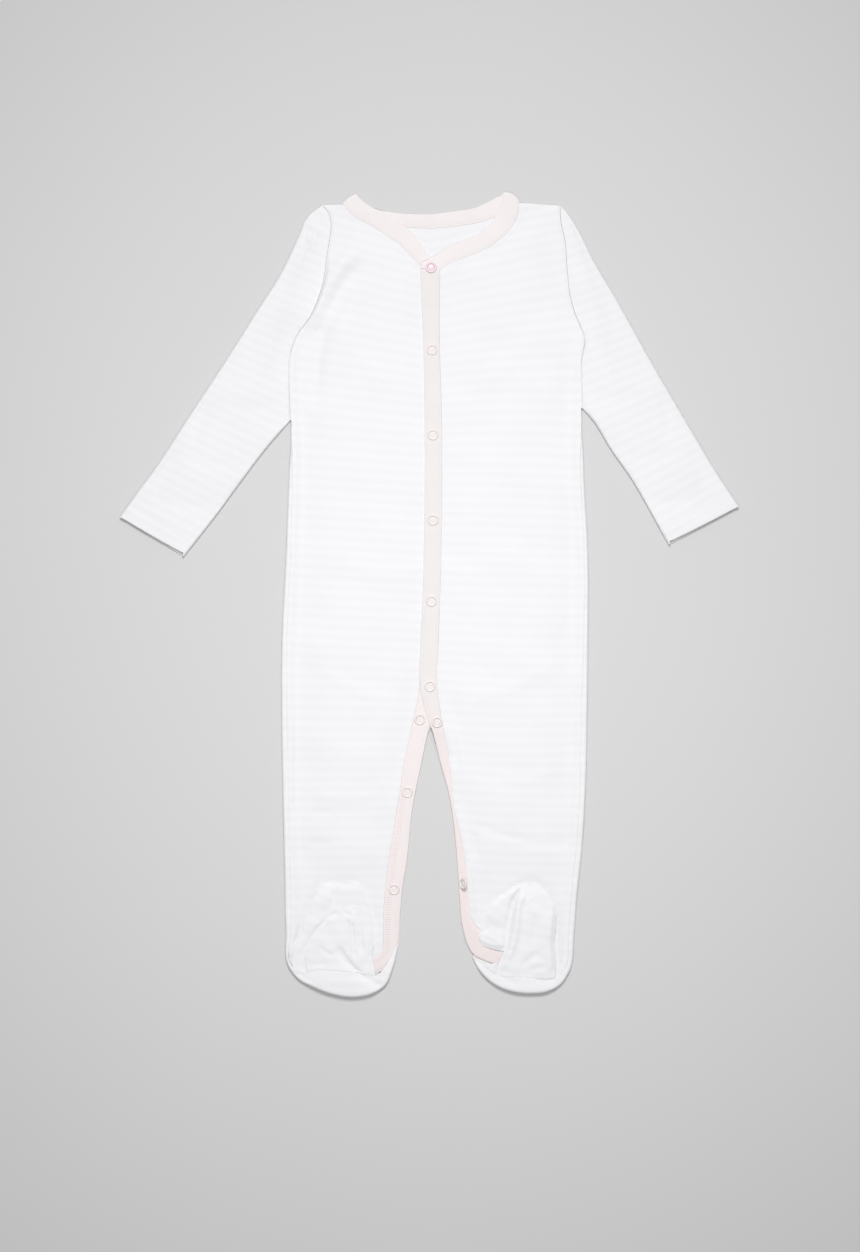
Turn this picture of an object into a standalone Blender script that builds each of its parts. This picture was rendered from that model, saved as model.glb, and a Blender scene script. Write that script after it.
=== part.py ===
"""Footed baby sleepsuit of striped knit cotton, snapped shut and laid flat on its back.

The neck is towards +Y, the wearer's right is towards -X and the cloth lies on z = 0.
Every cloth piece is drawn as the centre surface of its wall, and Solidify gives it its thickness.
Sizes are in millimetres until a mesh is made. Outlines are smooth curves through short tables.
"""

from collections import namedtuple
from math import cos, pi, radians, sin

import bmesh
import bpy
import numpy as np

MM = 0.001

# Cloth and its layers, mm
CLOTH = 1.0                         # wall of one layer
SEAM = 0.3                          # gap between two pieces at a seam
PLY = CLOTH + 0.4                   # from one layer's centre surface to the next
BACK_Z = CLOTH / 2
FRONT_Z = BACK_Z + PLY
OVER_Z = FRONT_Z + PLY              # the over binding, and the foot uppers
SOLE_Z = OVER_Z + PLY
ROLL_RADIUS = 1.8                   # soft fold along the side of the body
ROLL_TOP = BACK_Z + 2 * ROLL_RADIUS
ROLL_HEM = 0.6                      # flat cloth between the fold and the front seam
ROLL_REACH = 10.0                   # the front sinks from the side fold to the back layer within this
OVER_REACH = 14.0                   # and from the over binding within this
OVER_LEVEL = 3.0                    # after staying level over the under binding's edge
LAP = 1.0                           # the body laps over the sleeve under the arm

# Steps along the outlines
NECK_STEPS = 6
BACK_NECK_STEPS = 4
ARM_STEPS = 10
TRUNK_STEPS = 10
LEG_STEPS = 9
HEEL_STEPS = 8
HEEL_FAN = 4                        # heel rows that end along the ankle; the others end at its corner
LAP_FROM = 7                        # armhole row from which the body's edge is lifted off the sleeve
EASED = 3                           # rows below the underarm where the front keeps a wider gap
FINE = 200                          # steps of a curve that is only read off
THIRDS = (1 / 3, 2 / 3, 1)
HAND = {"right": -1, "left": 1}

# Lift of the left front's inner edge onto the right front, in plies: neck rows, and the first leg row
NECK_LIFTS = (0, 0, 0, 0, 0.2, 0.6)
CROTCH_LIFT = 0.85

Plan = namedtuple("Plan", "x y")
Fold = namedtuple("Fold", "x y inset")            # outline, and how far inside it the front seam lies
FootRow = namedtuple("FootRow", "y outer inner")  # outer is the side away from the other leg

# Armhole seam, from the shoulder to the underarm
ARMHOLE = {
    "right": [Plan(-92, 335), Plan(-86.5, 328), Plan(-84.5, 317), Plan(-86, 305), Plan(-88, 293),
              Plan(-92.5, 265), Plan(-103.5, 238), Plan(-114, 223), Plan(-119, 209),
              Plan(-119.5, 188), Plan(-119, 168), Plan(-119, 150.5)],
    "left": [Plan(112, 334.5), Plan(113, 320), Plan(116.5, 304.5), Plan(118, 284), Plan(121, 257),
             Plan(125, 242), Plan(131, 228), Plan(133.5, 219.5), Plan(132, 210.5),
             Plan(129.5, 201), Plan(129.5, 182), Plan(130.5, 161)],
}

# Outside of the folded body, from the underarm round the heel to the inner ankle
SIDE_KNOTS = {"right": (5, 9), "left": (5, 10)}   # knots at the crotch and where the heel begins
OUTLINE = {
    "right": [Fold(-119, 150.5, 1), Fold(-119.4, 138, 2), Fold(-121, 99, 3), Fold(-123.5, 34, 4),
              Fold(-127, -39, 4.5), Fold(-127.3, -100, 5), Fold(-126, -176, 5),
              Fold(-124.5, -245, 5), Fold(-123.5, -288, 5), Fold(-121, -320, 6), Fold(-113, -330, 11),
              Fold(-99, -337.5, 17), Fold(-84, -343, 21), Fold(-66, -345.7, 22),
              Fold(-50, -343, 17), Fold(-38, -335.5, 9), Fold(-31, -323, 7),
              Fold(-27.5, -305, 5)],
    "left": [Fold(130.5, 161, 1), Fold(131.1, 148.5, 2), Fold(133, 99, 3), Fold(136.3, 34, 3.5),
             Fold(136.3, -39, 4), Fold(135.6, -100, 5), Fold(133.7, -176, 5), Fold(131, -219, 5),
             Fold(126.5, -262, 5), Fold(124.3, -292, 5), Fold(120, -324, 5), Fold(113, -334.5, 8),
             Fold(101, -341, 12), Fold(87, -342.5, 14), Fold(74, -341.5, 14), Fold(62, -338, 11),
             Fold(51, -331.5, 8), Fold(43, -324, 7), Fold(38.5, -315.5, 4)],
}

# Neck: the seam of the binding to the cloth, and its free edge, from the shoulder to the centre front
NECK_SEAM = {
    "right": [Plan(-74.5, 335.5), Plan(-67.5, 327), Plan(-51, 317.5), Plan(-36.5, 308.5),
              Plan(-26, 301), Plan(-16.5, 291.5), Plan(-6.5, 280.8)],
    "left": [Plan(77, 337), Plan(76, 327), Plan(70, 315.5), Plan(60, 305), Plan(46, 296),
             Plan(29, 289), Plan(17.5, 284.5), Plan(9, 278.6)],
}
NECK_EDGE = {
    "right": [Plan(-62.5, 344), Plan(-51, 332), Plan(-34, 325), Plan(-21, 316.5),
              Plan(-12.5, 308), Plan(-5.5, 297.5), Plan(0.5, 287)],
    "left": [Plan(63, 345.3), Plan(61.5, 336), Plan(56.5, 326), Plan(50, 316.5), Plan(41, 310),
             Plan(30.5, 305.5), Plan(17.5, 299.5), Plan(10, 292.5), Plan(2, 286.8)],
}
# Ends of the neck binding, (free edge, seam): the right one lies under the left one
NECK_UNDER_END = (Plan(6.5, 287.6), Plan(6.5, 279.6))
NECK_OVER_END = [(Plan(-1.5, 286.6), Plan(1, 280.2)), (Plan(-5.2, 286.2), Plan(-6.9, 281))]
# The same at the back, from the shoulder to the centre back
CENTRE_X = 1.0
UNDERARM_Y = 155.0
BACK_NECK_SEAM = {
    "right": [Plan(-74.5, 335.5), Plan(-60, 327), Plan(-42.5, 320), Plan(-17.5, 316),
              Plan(CENTRE_X, 315)],
    "left": [Plan(77, 337), Plan(65, 330), Plan(52, 323.4), Plan(41, 320), Plan(17.5, 316.5),
             Plan(CENTRE_X, 315)],
}
BACK_NECK_EDGE = {
    "right": [Plan(-62.5, 344), Plan(-54.5, 336.5), Plan(-47.5, 333), Plan(-28, 328.5),
              Plan(CENTRE_X, 327.3)],
    "left": [Plan(63, 345.3), Plan(52, 339), Plan(41, 333.7), Plan(17.5, 329.5),
             Plan(CENTRE_X, 327.3)],
}

# Inner edge of each front, where its binding is sewn on, from the neck down to the ankle
FRONT_SEAM_KNOTS = (2, 8, 15)       # knots at the underarm's height, the crotch and the ankle
FRONT_SEAM = {
    "right": [Plan(-6.5, 280.8), Plan(-4.5, 223.5), Plan(-3.3, 150.5), Plan(-3.3, 64.5),
              Plan(-5, -4), Plan(-6.7, -43), Plan(-8, -70), Plan(-9.5, -86), Plan(-12, -98),
              Plan(-16.5, -120), Plan(-20, -135), Plan(-28, -185), Plan(-35, -228),
              Plan(-38, -250), Plan(-39.5, -272), Plan(-40, -301)],
    "left": [Plan(9, 278.6), Plan(8.5, 223.5), Plan(10.4, 155), Plan(10.4, 64.5), Plan(9, -4),
             Plan(7.6, -43), Plan(6.3, -70), Plan(7, -84), Plan(9, -98), Plan(13, -120),
             Plan(16.8, -138.5), Plan(24.5, -185), Plan(32.3, -228), Plan(34.8, -262),
             Plan(36, -280), Plan(43, -296.5)],
}
# Free edge of the same bindings, from the neck down to the ankle
FRONT_EDGE = {
    "right": [Plan(9.5, 280), Plan(11.5, 223.5), Plan(12.7, 150.5), Plan(12.7, 64.5), Plan(11, -4),
              Plan(9, -43), Plan(8, -70), Plan(6.5, -86), Plan(4.5, -98), Plan(-2.2, -121.5),
              Plan(-6.5, -142), Plan(-15, -185), Plan(-19.5, -228), Plan(-23.6, -254),
              Plan(-25.4, -275), Plan(-26.3, -299)],
    "left": [Plan(-6.9, 280.4), Plan(-5.6, 223.5), Plan(-4.3, 155), Plan(-4.3, 64.5), Plan(-6, -4),
             Plan(-7.7, -43), Plan(-8.2, -75), Plan(-6.9, -86), Plan(-3.9, -98.5), Plan(3.4, -120.5),
             Plan(8.2, -142), Plan(16, -185), Plan(23.6, -228), Plan(26.2, -262),
             Plan(27.1, -280), Plan(31.5, -297)],
}
# Turned-in end of the under binding at the right ankle: seam side and free side
UNDER_END = [(Plan(-44.3, -309.6), Plan(-31.5, -307)), (Plan(-51, -315), Plan(-42, -321.5))]

# Back inner-leg binding: its seam to the back, from the crotch to the ankle, and its free edge
LEG_BACK_KNOTS = {"right": (7, 8), "left": (8, 9)}
LEG_BACK_SEAM = {
    "right": [Plan(CENTRE_X, -97), Plan(-8, -100.5), Plan(-14, -111), Plan(-18.5, -131.5),
              Plan(-28, -185), Plan(-35, -228), Plan(-39, -262), Plan(-40, -297),
              Plan(-40, -305.5)],
    "left": [Plan(CENTRE_X, -97), Plan(11, -100.5), Plan(18, -107), Plan(24.5, -122),
             Plan(29.5, -140), Plan(37, -185), Plan(44.5, -228), Plan(47.5, -262),
             Plan(51, -304), Plan(53, -315.5)],
}
LEG_BACK_EDGE = {
    "right": [Plan(CENTRE_X, -114.4), Plan(-2.5, -121.5), Plan(-6.5, -142), Plan(-15, -185),
              Plan(-19.5, -228), Plan(-23.6, -254), Plan(-26.2, -297)],
    "left": [Plan(CENTRE_X, -114.4), Plan(5, -116.5), Plan(8.5, -125), Plan(13, -142),
             Plan(20.7, -185), Plan(28, -228), Plan(30.8, -262), Plan(34, -292),
             Plan(36.5, -303)],
}
LEG_BACK_END = {"right": (Plan(-39.6, -304.4), Plan(-27, -303.6)),
                "left": (Plan(52.6, -314.6), Plan(38.3, -312))}

# Sleeves: the fold along the shoulder and the underarm fold, from the body to the cuff
SHOULDER_FOLD = {
    "right": [Plan(-92, 335), Plan(-98.5, 331), Plan(-103, 327), Plan(-107, 322), Plan(-110, 314),
              Plan(-114, 305), Plan(-126, 279.5), Plan(-150, 241), Plan(-183, 189),
              Plan(-208.5, 150.5), Plan(-233.5, 112), Plan(-252.5, 86), Plan(-266.2, 67)],
    "left": [Plan(112, 334.5), Plan(116, 331), Plan(119.5, 326.5), Plan(127.5, 314),
             Plan(140.5, 288), Plan(160.5, 254), Plan(189.5, 202), Plan(219.5, 150.5),
             Plan(250.5, 99), Plan(265.9, 76)],
}
UNDERARM_FOLD = {
    "right": [Plan(-119, 150.5), Plan(-141.5, 124.7), Plan(-161, 99), Plan(-180, 73),
              Plan(-211, 33)],
    "left": [Plan(130.5, 161), Plan(140, 150.5), Plan(156, 125), Plan(174, 99), Plan(189, 73),
             Plan(196, 60), Plan(205.5, 43)],
}
SLEEVE_ROWS = (0, 0.03, 0.07, 0.13, 0.22, 0.34, 0.48, 0.65, 0.83, 1)
SLEEVE_RADIUS = 1.3                 # fold along the sleeve
CAP_LENGTH = 0.5                    # share of the sleeve over which the armhole's curve dies out

# Feet, turned up over the shins with the soles facing up: rows from the heel to the toe
SOLE_HEEL = (1, 6)                  # heel stations between which the sole is sewn on
SOLE = {
    "right": [FootRow(-309.6, -107, -47), FootRow(-297, -105, -47.7), FootRow(-281, -92.5, -50.3),
              FootRow(-266.6, -89, -53.8), FootRow(-255.4, -88, -56.3),
              FootRow(-248.5, -84.7, -59.8), FootRow(-245, -78.7, -63)],
    "left": [FootRow(-315.6, 107.9, 59.8), FootRow(-301, 106.6, 65.8), FootRow(-284, 108.4, 69.2),
             FootRow(-268.3, 108.4, 72.7), FootRow(-258, 103, 77), FootRow(-251, 97.6, 80.4),
             FootRow(-246, 90, 83)],
}
UPPER_POINTS = 5
UPPER = {
    "right": [FootRow(-309.6, -106, -46), FootRow(-288, -106, -49.5), FootRow(-272.6, -103.6, -52),
              FootRow(-260.6, -100, -54.6), FootRow(-252, -95.9, -57.2), FootRow(-246, -88, -62)],
    "left": [FootRow(-307, 106.2, 45.5), FootRow(-295, 107, 43.5), FootRow(-284, 107.9, 42.5),
             FootRow(-272.6, 108.5, 45.2), FootRow(-265, 106.2, 51.2), FootRow(-258, 101.9, 62.4),
             FootRow(-251, 96.8, 71.8), FootRow(-246.4, 89.5, 80)],
}

# Ring snaps: where each sits, and the layer it is pressed into
RING_RADIUS = 4.0
RING_WIRE = 0.7
Snap = namedtuple("Snap", "name x y layer_z")
SNAPS = [
    Snap("snap_front_1", 1.3, 281.2, OVER_Z), Snap("snap_front_2", 2.2, 210.7, OVER_Z),
    Snap("snap_front_3", 3.0, 137.6, OVER_Z), Snap("snap_front_4", 3.0, 64.5, OVER_Z),
    Snap("snap_front_5", 1.8, -5.2, OVER_Z), Snap("snap_front_6", 0.4, -78.3, OVER_Z),
    Snap("snap_leg_right_1", -8.2, -107.0, FRONT_Z), Snap("snap_leg_right_2", -19.3, -169.4, FRONT_Z),
    Snap("snap_leg_right_3", -30.5, -252.8, FRONT_Z), Snap("snap_leg_left_1", 6.5, -109.2, OVER_Z),
    Snap("snap_leg_left_2", 29.5, -247.7, FRONT_Z),
]

Finish = namedtuple("Finish", "name color roughness metallic")
STRIPED_KNIT = Finish("striped_knit", (0.90, 0.92, 0.94), 0.9, 0.0)
BINDING_KNIT = Finish("binding_knit", (0.93, 0.80, 0.77), 0.9, 0.0)
SNAP_ENAMEL = Finish("snap_enamel", (0.88, 0.66, 0.66), 0.4, 0.0)


def clear_scene():
    for item in list(bpy.data.objects):
        bpy.data.objects.remove(item, do_unlink=True)


def make_collection(name):
    collection = bpy.data.collections.new(name)
    bpy.context.scene.collection.children.link(collection)
    return collection


def material(finish):
    made = bpy.data.materials.get(finish.name) or bpy.data.materials.new(finish.name)
    made.use_nodes = True
    shader = made.node_tree.nodes["Principled BSDF"]
    shader.inputs["Base Color"].default_value = (*finish.color, 1)
    shader.inputs["Roughness"].default_value = finish.roughness
    shader.inputs["Metallic"].default_value = finish.metallic
    return made


def stations(knots, *stretches):
    """Points of a smooth curve through the knots. A stretch is (its last knot, its number of steps)."""
    knots = np.array(knots, float)
    chords = np.linalg.norm(np.diff(knots[:, :2], axis=0), axis=1)
    reach = np.concatenate([[0.0], np.cumsum(chords)])
    slopes = np.gradient(knots, reach, axis=0)
    distances, start = [0.0], 0
    for last, steps in stretches:
        distances += list(np.linspace(reach[start], reach[last], steps + 1)[1:])
        start = last
    return np.array([on_curve(knots, reach, slopes, distance) for distance in distances])


def on_curve(knots, reach, slopes, distance):
    """The cubic between two knots that has their slopes."""
    k = min(int(np.searchsorted(reach, distance, side="right")) - 1, len(knots) - 2)
    span = reach[k + 1] - reach[k]
    t = (distance - reach[k]) / span
    start = (1 + 2 * t) * (1 - t) ** 2 * knots[k] + t * (1 - t) ** 2 * span * slopes[k]
    end = t * t * (3 - 2 * t) * knots[k + 1] - t * t * (1 - t) * span * slopes[k + 1]
    return start + end


def to_centre(points, side):
    """Unit vectors square to a line that runs down one side, towards the garment's centre."""
    along = np.gradient(np.array(points)[:, :2], axis=0)
    along /= np.linalg.norm(along, axis=1)[:, None]
    return HAND[side] * np.column_stack([along[:, 1], -along[:, 0]])


def beside(points, side, distance):
    return np.array(points)[:, :2] + distance * to_centre(points, side)


def fall(share):
    """1 at 0, falling softly to 0 at 1."""
    return 0.5 * (1 + cos(pi * min(max(share, 0.0), 1.0)))


def mix(a, b, share):
    return np.array(a, float) * (1 - share) + np.array(b, float) * share


def cloth(name, patches, finish, collection, loop=False):
    """One piece of cloth from grids of (x, y, z) in mm on its centre surface; shared edges are welded."""
    form = bmesh.new()
    for rows in patches:
        grid = [[form.verts.new([value * MM for value in point]) for point in row] for row in rows]
        for upper, lower in zip(grid, grid[1:]):
            if loop:
                upper, lower = upper + upper[:1], lower + lower[:1]
            for k in range(len(upper) - 1):
                form.faces.new([upper[k], lower[k], lower[k + 1], upper[k + 1]])
    bmesh.ops.remove_doubles(form, verts=form.verts, dist=0.01 * MM)
    mesh = bpy.data.meshes.new(name)
    form.to_mesh(mesh)
    form.free()
    mesh.shade_smooth()
    piece = bpy.data.objects.new(name, mesh)
    mesh.materials.append(material(finish))
    wall = piece.modifiers.new("wall", "SOLIDIFY")
    wall.thickness = CLOTH * MM
    wall.offset = 0
    wall.use_even_offset = True
    collection.objects.link(piece)
    return piece


def outline_stations(side):
    """The folded outline with its insets, split at the crotch and where the heel begins."""
    crotch, heel = SIDE_KNOTS[side]
    steps = ((1, 1), (crotch, TRUNK_STEPS - 1), (heel, LEG_STEPS), (-1, HEEL_STEPS))
    return stations(OUTLINE[side], *steps)


def armhole_stations(side):
    return stations(ARMHOLE[side], (-1, ARM_STEPS))


def neck_stations(side):
    return stations(NECK_SEAM[side], (-1, NECK_STEPS))


def front_seam_stations(side):
    underarm, crotch, ankle = FRONT_SEAM_KNOTS
    steps = ((underarm, ARM_STEPS - NECK_STEPS), (crotch, TRUNK_STEPS), (ankle, LEG_STEPS))
    return stations(FRONT_SEAM[side], *steps)


def front_edge_stations(side):
    """Free edge of a front binding, at the heights of its seam's stations."""
    seam = front_seam_stations(side)
    fine = stations(FRONT_EDGE[side], (-1, FINE))
    heights = np.clip(seam[:, 1], fine[-1, 1], fine[0, 1])
    return np.column_stack([np.interp(-heights, -fine[:, 1], fine[:, 0]), heights])


def over_lift():
    """The left front's lifts for all of its rows."""
    chest = [1] * (ARM_STEPS - NECK_STEPS + 1 + TRUNK_STEPS)
    return [*NECK_LIFTS, *chest, CROTCH_LIFT, *[0] * (LEG_STEPS - 1)]


def make_front(side, collection):
    """Front with its leg, from the shoulder to the ankle."""
    arm, outline = armhole_stations(side), outline_stations(side)
    body_rows = TRUNK_STEPS + LEG_STEPS
    arm_edge = beside(arm, side, SEAM / 2)
    arm_edge[LAP_FROM + 1:] = beside(arm, side, -LAP)[LAP_FROM + 1:]
    insets = outline[:, 2] + SEAM / 2
    insets[:EASED + 1] += SEAM / 2
    side_edge = outline[:, :2] + insets[:, None] * to_centre(outline, side)
    outer = np.vstack([arm_edge, side_edge[1:body_rows + 1]])
    inner = np.vstack([neck_stations(side)[:-1], front_seam_stations(side)])
    inner = beside(inner, side, -SEAM / 2)
    lifts = over_lift() if side == "left" else [0] * len(inner)
    rows = []
    for k, (edge, seam) in enumerate(zip(outer, inner)):
        edge_rise = ROLL_TOP - FRONT_Z if k >= LAP_FROM else 0
        rows.append(front_row(edge, seam, edge_rise, lifts[k] * PLY))
    if side == "left":
        rows = [row[::-1] for row in rows]
    cloth(f"front_{side}", [rows], STRIPED_KNIT, collection)


def front_row(edge, seam, edge_rise, seam_rise):
    """One row of a front, from its outer edge to its binding, sinking to the back layer between them."""
    width = np.linalg.norm(seam - edge)
    scale = min(1.0, width / (1.25 * (ROLL_REACH + OVER_REACH)))
    near_edge = [share * ROLL_REACH * scale for share in (0, 0.3, 0.6, 1)]
    near_seam = [width - share * OVER_REACH * scale for share in (1, 0.5, 0)]
    middle = [near_edge[-1] + share * (near_seam[0] - near_edge[-1]) for share in (0.25, 0.5, 0.75)]
    row = []
    for distance in near_edge + middle + near_seam:
        rise = edge_rise * fall(distance / (ROLL_REACH * scale))
        rise += seam_rise * fall((width - distance - OVER_LEVEL) / (OVER_REACH * scale - OVER_LEVEL))
        row.append((*mix(edge, seam, distance / width), FRONT_Z + rise))
    return row


def turned(radius, degrees):
    """(distance inside the outline, distance from the flat cloth) round a fold, from its far end.

    The arc keeps its length while it opens, so a quarter turn has twice the radius of a half turn.
    """
    shares = (1, 0.75, 0.5, 0.25, 0)
    if degrees == 0:
        return [(pi * radius * (1 - share), 0.0) for share in shares]
    open_radius = radius * 180 / degrees
    return [(CLOTH / 2 + open_radius * (1 - sin(angle)), open_radius * (1 - cos(angle)))
            for angle in [radians(degrees * share) for share in shares]]


def side_section(degrees, radius, inset):
    """(distance inside the outline, height) of the back's edge, from the front seam to the floor."""
    arc = [(distance, BACK_Z + rise) for distance, rise in turned(radius, degrees)]
    if degrees == 0:
        return [(SEAM / 2, BACK_Z)] + [(SEAM / 2 + ROLL_HEM + distance, z) for distance, z in arc]
    end_distance, end_z = arc[0]
    if degrees == 90:
        return [(end_distance, end_z + ROLL_HEM), *arc]
    return [(inset - SEAM / 2, end_z), *arc]


def heel_radius(step):
    """The fold grows at the heel until its top meets the sole's layer."""
    return ROLL_RADIUS + (SOLE_Z - ROLL_TOP) / 2 * min(step / 2, 1.0)


def back_half(side):
    """One half of the back: rows from its outer edge to the centre or the inner leg."""
    arm, outline = armhole_stations(side), outline_stations(side)
    normals = to_centre(outline, side)
    neck = beside(stations(BACK_NECK_SEAM[side], (-1, BACK_NECK_STEPS)), side, -SEAM / 2)
    neck[-1] = (CENTRE_X, BACK_NECK_SEAM[side][-1].y - SEAM / 2)
    chest = down_centre(neck[-1][1], UNDERARM_Y, ARM_STEPS - BACK_NECK_STEPS)
    trunk = down_centre(UNDERARM_Y, LEG_BACK_SEAM[side][0].y + SEAM / 2, TRUNK_STEPS)
    ankle, heel_end = LEG_BACK_KNOTS[side]
    leg_seam = stations(LEG_BACK_SEAM[side], (ankle, LEG_STEPS), (heel_end, HEEL_FAN))
    leg = beside(leg_seam, side, -SEAM / 2)[1:]
    pivot = np.repeat(leg[-1:], HEEL_STEPS - HEEL_FAN, axis=0)
    inner = np.vstack([neck, chest, trunk, leg, pivot])
    rows = []
    for k, edge in enumerate(arm):
        towards = (inner[k] - edge) / np.linalg.norm(inner[k] - edge)
        rows.append(back_row(edge, towards, side_section(0, ROLL_RADIUS, 0), inner[k]))
    for k in range(1, len(outline)):
        radius = heel_radius(max(k - TRUNK_STEPS - LEG_STEPS, 0))
        section = side_section(90 if k == 1 else 180, radius, outline[k, 2])
        rows.append(back_row(outline[k, :2], normals[k], section, inner[ARM_STEPS + k]))
    return rows


def down_centre(start_y, end_y, steps):
    return [(CENTRE_X, y) for y in np.linspace(start_y, end_y, steps + 1)[1:]]


def back_row(edge, towards, section, end):
    """The section laid off from the edge, then thirds of what is left of the row."""
    row = [(*(edge + distance * towards), z) for distance, z in section]
    return row + [(*mix(row[-1][:2], end, third), BACK_Z) for third in THIRDS]


def make_back(collection):
    """Back with both leg backs and heels; its side edges fold up and over to the front seams."""
    right = back_half("right")
    left = [row[::-1] for row in back_half("left")]
    cloth("back", [right, left], STRIPED_KNIT, collection)


def make_sleeve(side, collection):
    """Sleeve laid flat: a tube whose rings run from the armhole to the cuff."""
    armhole = beside(armhole_stations(side), side, -SEAM / 2)
    armhole[-1] += (HAND[side] * SEAM, 0)
    shares = np.linspace(0, 1, len(armhole))
    shoulder = stations(SHOULDER_FOLD[side], (-1, FINE))
    underarm = stations(UNDERARM_FOLD[side], (-1, FINE))
    away, below = -to_centre(shoulder, side), to_centre(underarm, side)
    rings = []
    for along in SLEEVE_ROWS:
        row = round(along * FINE)
        radius = (FRONT_Z - BACK_Z) / 2
        radius += (SLEEVE_RADIUS - radius) * (1 - fall(along / SLEEVE_ROWS[3]))
        bulge = max(1 - along / CAP_LENGTH, 0) ** 2
        layer = []
        for share, seam in zip(shares, armhole):
            cap = seam - mix(shoulder[0], underarm[0], share)
            layer.append(mix(shoulder[row], underarm[row], share) + bulge * cap)
        down = (layer[1] - layer[0]) / np.linalg.norm(layer[1] - layer[0])
        up = (layer[-2] - layer[-1]) / np.linalg.norm(layer[-2] - layer[-1])
        layer[0] = layer[0] + (radius + CLOTH / 2) * (down if row == 0 else -away[row])
        slant = 1 / (-up @ below[row])
        layer[-1] = layer[-1] + (radius * slant + CLOTH / 2) * up
        rings.append(tube_ring(layer, radius, away[row], -up * slant))
    if side == "left":
        rings = [ring[::-1] for ring in rings]
    cloth(f"sleeve_{side}", [rings], STRIPED_KNIT, collection, loop=True)


def tube_ring(layer, radius, shoulder_out, underarm_out):
    """A flattened ring: over the upper layer, round one fold, back under it, round the other fold."""
    last = len(layer) - 1
    ring = []
    for k, point in enumerate(layer):
        near_fold = fall(min(k, last - k) / 2)
        ring.append((*point, FRONT_Z + (BACK_Z + 2 * radius - FRONT_Z) * near_fold))
    ring += fold_round(layer[-1], underarm_out, radius, (45, 0, -45))
    ring += [(*point, BACK_Z) for point in layer[::-1]]
    ring += fold_round(layer[0], shoulder_out, radius, (-45, 0, 45))
    return ring


def fold_round(point, outward, radius, angles):
    """Points round a fold at the end of a layer; a slanting row gives an outward vector longer than 1."""
    return [(*(point + outward * radius * cos(angle)), BACK_Z + radius * (1 + sin(angle)))
            for angle in map(radians, angles)]


def strip_row(edge, seam, z):
    return [(*mix(edge, seam, share), z) for share in (0, 0.5, 1)]


def make_neck_binding(collection):
    """One strip round the neck, folded over at each shoulder; its left end laps over its right end."""
    seam = {side: beside(neck_stations(side), side, SEAM / 2) for side in HAND}
    edge = {side: stations(NECK_EDGE[side], (-1, NECK_STEPS)) for side in HAND}
    rows = [strip_row(*NECK_UNDER_END, FRONT_Z)]
    rows += [strip_row(*ends, FRONT_Z) for ends in zip(edge["right"][::-1], seam["right"][::-1])]
    rows += shoulder_fold("right", edge["right"][0], seam["right"][0], (45, 0, -45))
    rows += back_neck_rows("right")
    rows += back_neck_rows("left")[::-1][1:]
    rows += shoulder_fold("left", edge["left"][0], seam["left"][0], (-45, 0, 45))
    for lift, *ends in zip(over_lift(), edge["left"], seam["left"]):
        rows.append(strip_row(*ends, FRONT_Z + PLY * lift))
    rows += [strip_row(*ends, OVER_Z) for ends in NECK_OVER_END]
    cloth("neck_binding", [rows], BINDING_KNIT, collection)


def shoulder_fold(side, edge, seam, angles):
    """The strip turns from one layer to the other round the line from its edge to its seam."""
    radius = (FRONT_Z - BACK_Z) / 2
    line = (seam - edge) / np.linalg.norm(seam - edge)
    outward = HAND[side] * np.array([-line[1], line[0]])
    rows = []
    for angle in map(radians, angles):
        shift = outward * radius * cos(angle)
        rows.append(strip_row(edge + shift, seam + shift, BACK_Z + radius * (1 + sin(angle))))
    return rows


def back_neck_rows(side):
    seam = beside(stations(BACK_NECK_SEAM[side], (-1, BACK_NECK_STEPS)), side, SEAM / 2)
    seam[-1] = (CENTRE_X, BACK_NECK_SEAM[side][-1].y + SEAM / 2)
    edge = stations(BACK_NECK_EDGE[side], (-1, BACK_NECK_STEPS))
    return [strip_row(e, s, BACK_Z) for e, s in zip(edge, seam)]


def make_binding_under(collection):
    """Binding of the right front: under the other one on the chest, on top along the right leg."""
    seam = beside(front_seam_stations("right"), "right", SEAM / 2)
    edge = front_edge_stations("right")
    seam[0] -= (0, 2 * SEAM)
    edge[0] -= (0, 3 * SEAM)
    rows = [strip_row(s, e, FRONT_Z) for s, e in zip(seam, edge)]
    rows += [strip_row(s, e, FRONT_Z) for s, e in UNDER_END]
    cloth("binding_under", [rows], BINDING_KNIT, collection)


def make_binding_over(collection):
    """Binding of the left front: on top down the chest, its free edge curled under along the left leg."""
    seam = beside(front_seam_stations("left"), "left", SEAM / 2)
    edge = front_edge_stations("left")
    lifts = over_lift()[NECK_STEPS:]
    seam[0] -= (0, 2 * SEAM)
    edge[0] -= (0, SEAM)
    first_curled = ARM_STEPS - NECK_STEPS + TRUNK_STEPS + 2
    rows = []
    for k, (a, b) in enumerate(zip(seam, edge)):
        degrees = 0 if k < first_curled else 90 if k == first_curled else 180
        rows.append(curled_row(a, b, FRONT_Z + PLY * lifts[k], degrees))
    cloth("binding_over", [rows], BINDING_KNIT, collection)


def curled_row(seam, edge, z, degrees):
    """From the free edge, which turns down and under, to the seam."""
    inward = (seam - edge) / np.linalg.norm(seam - edge)
    curl = turned((FRONT_Z - BACK_Z) / 2, degrees)
    row = [(*(edge + inward * distance), z - drop) for distance, drop in curl]
    return row + [(*mix(row[-1][:2], seam, share), z) for share in (0.5, 1)]


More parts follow.
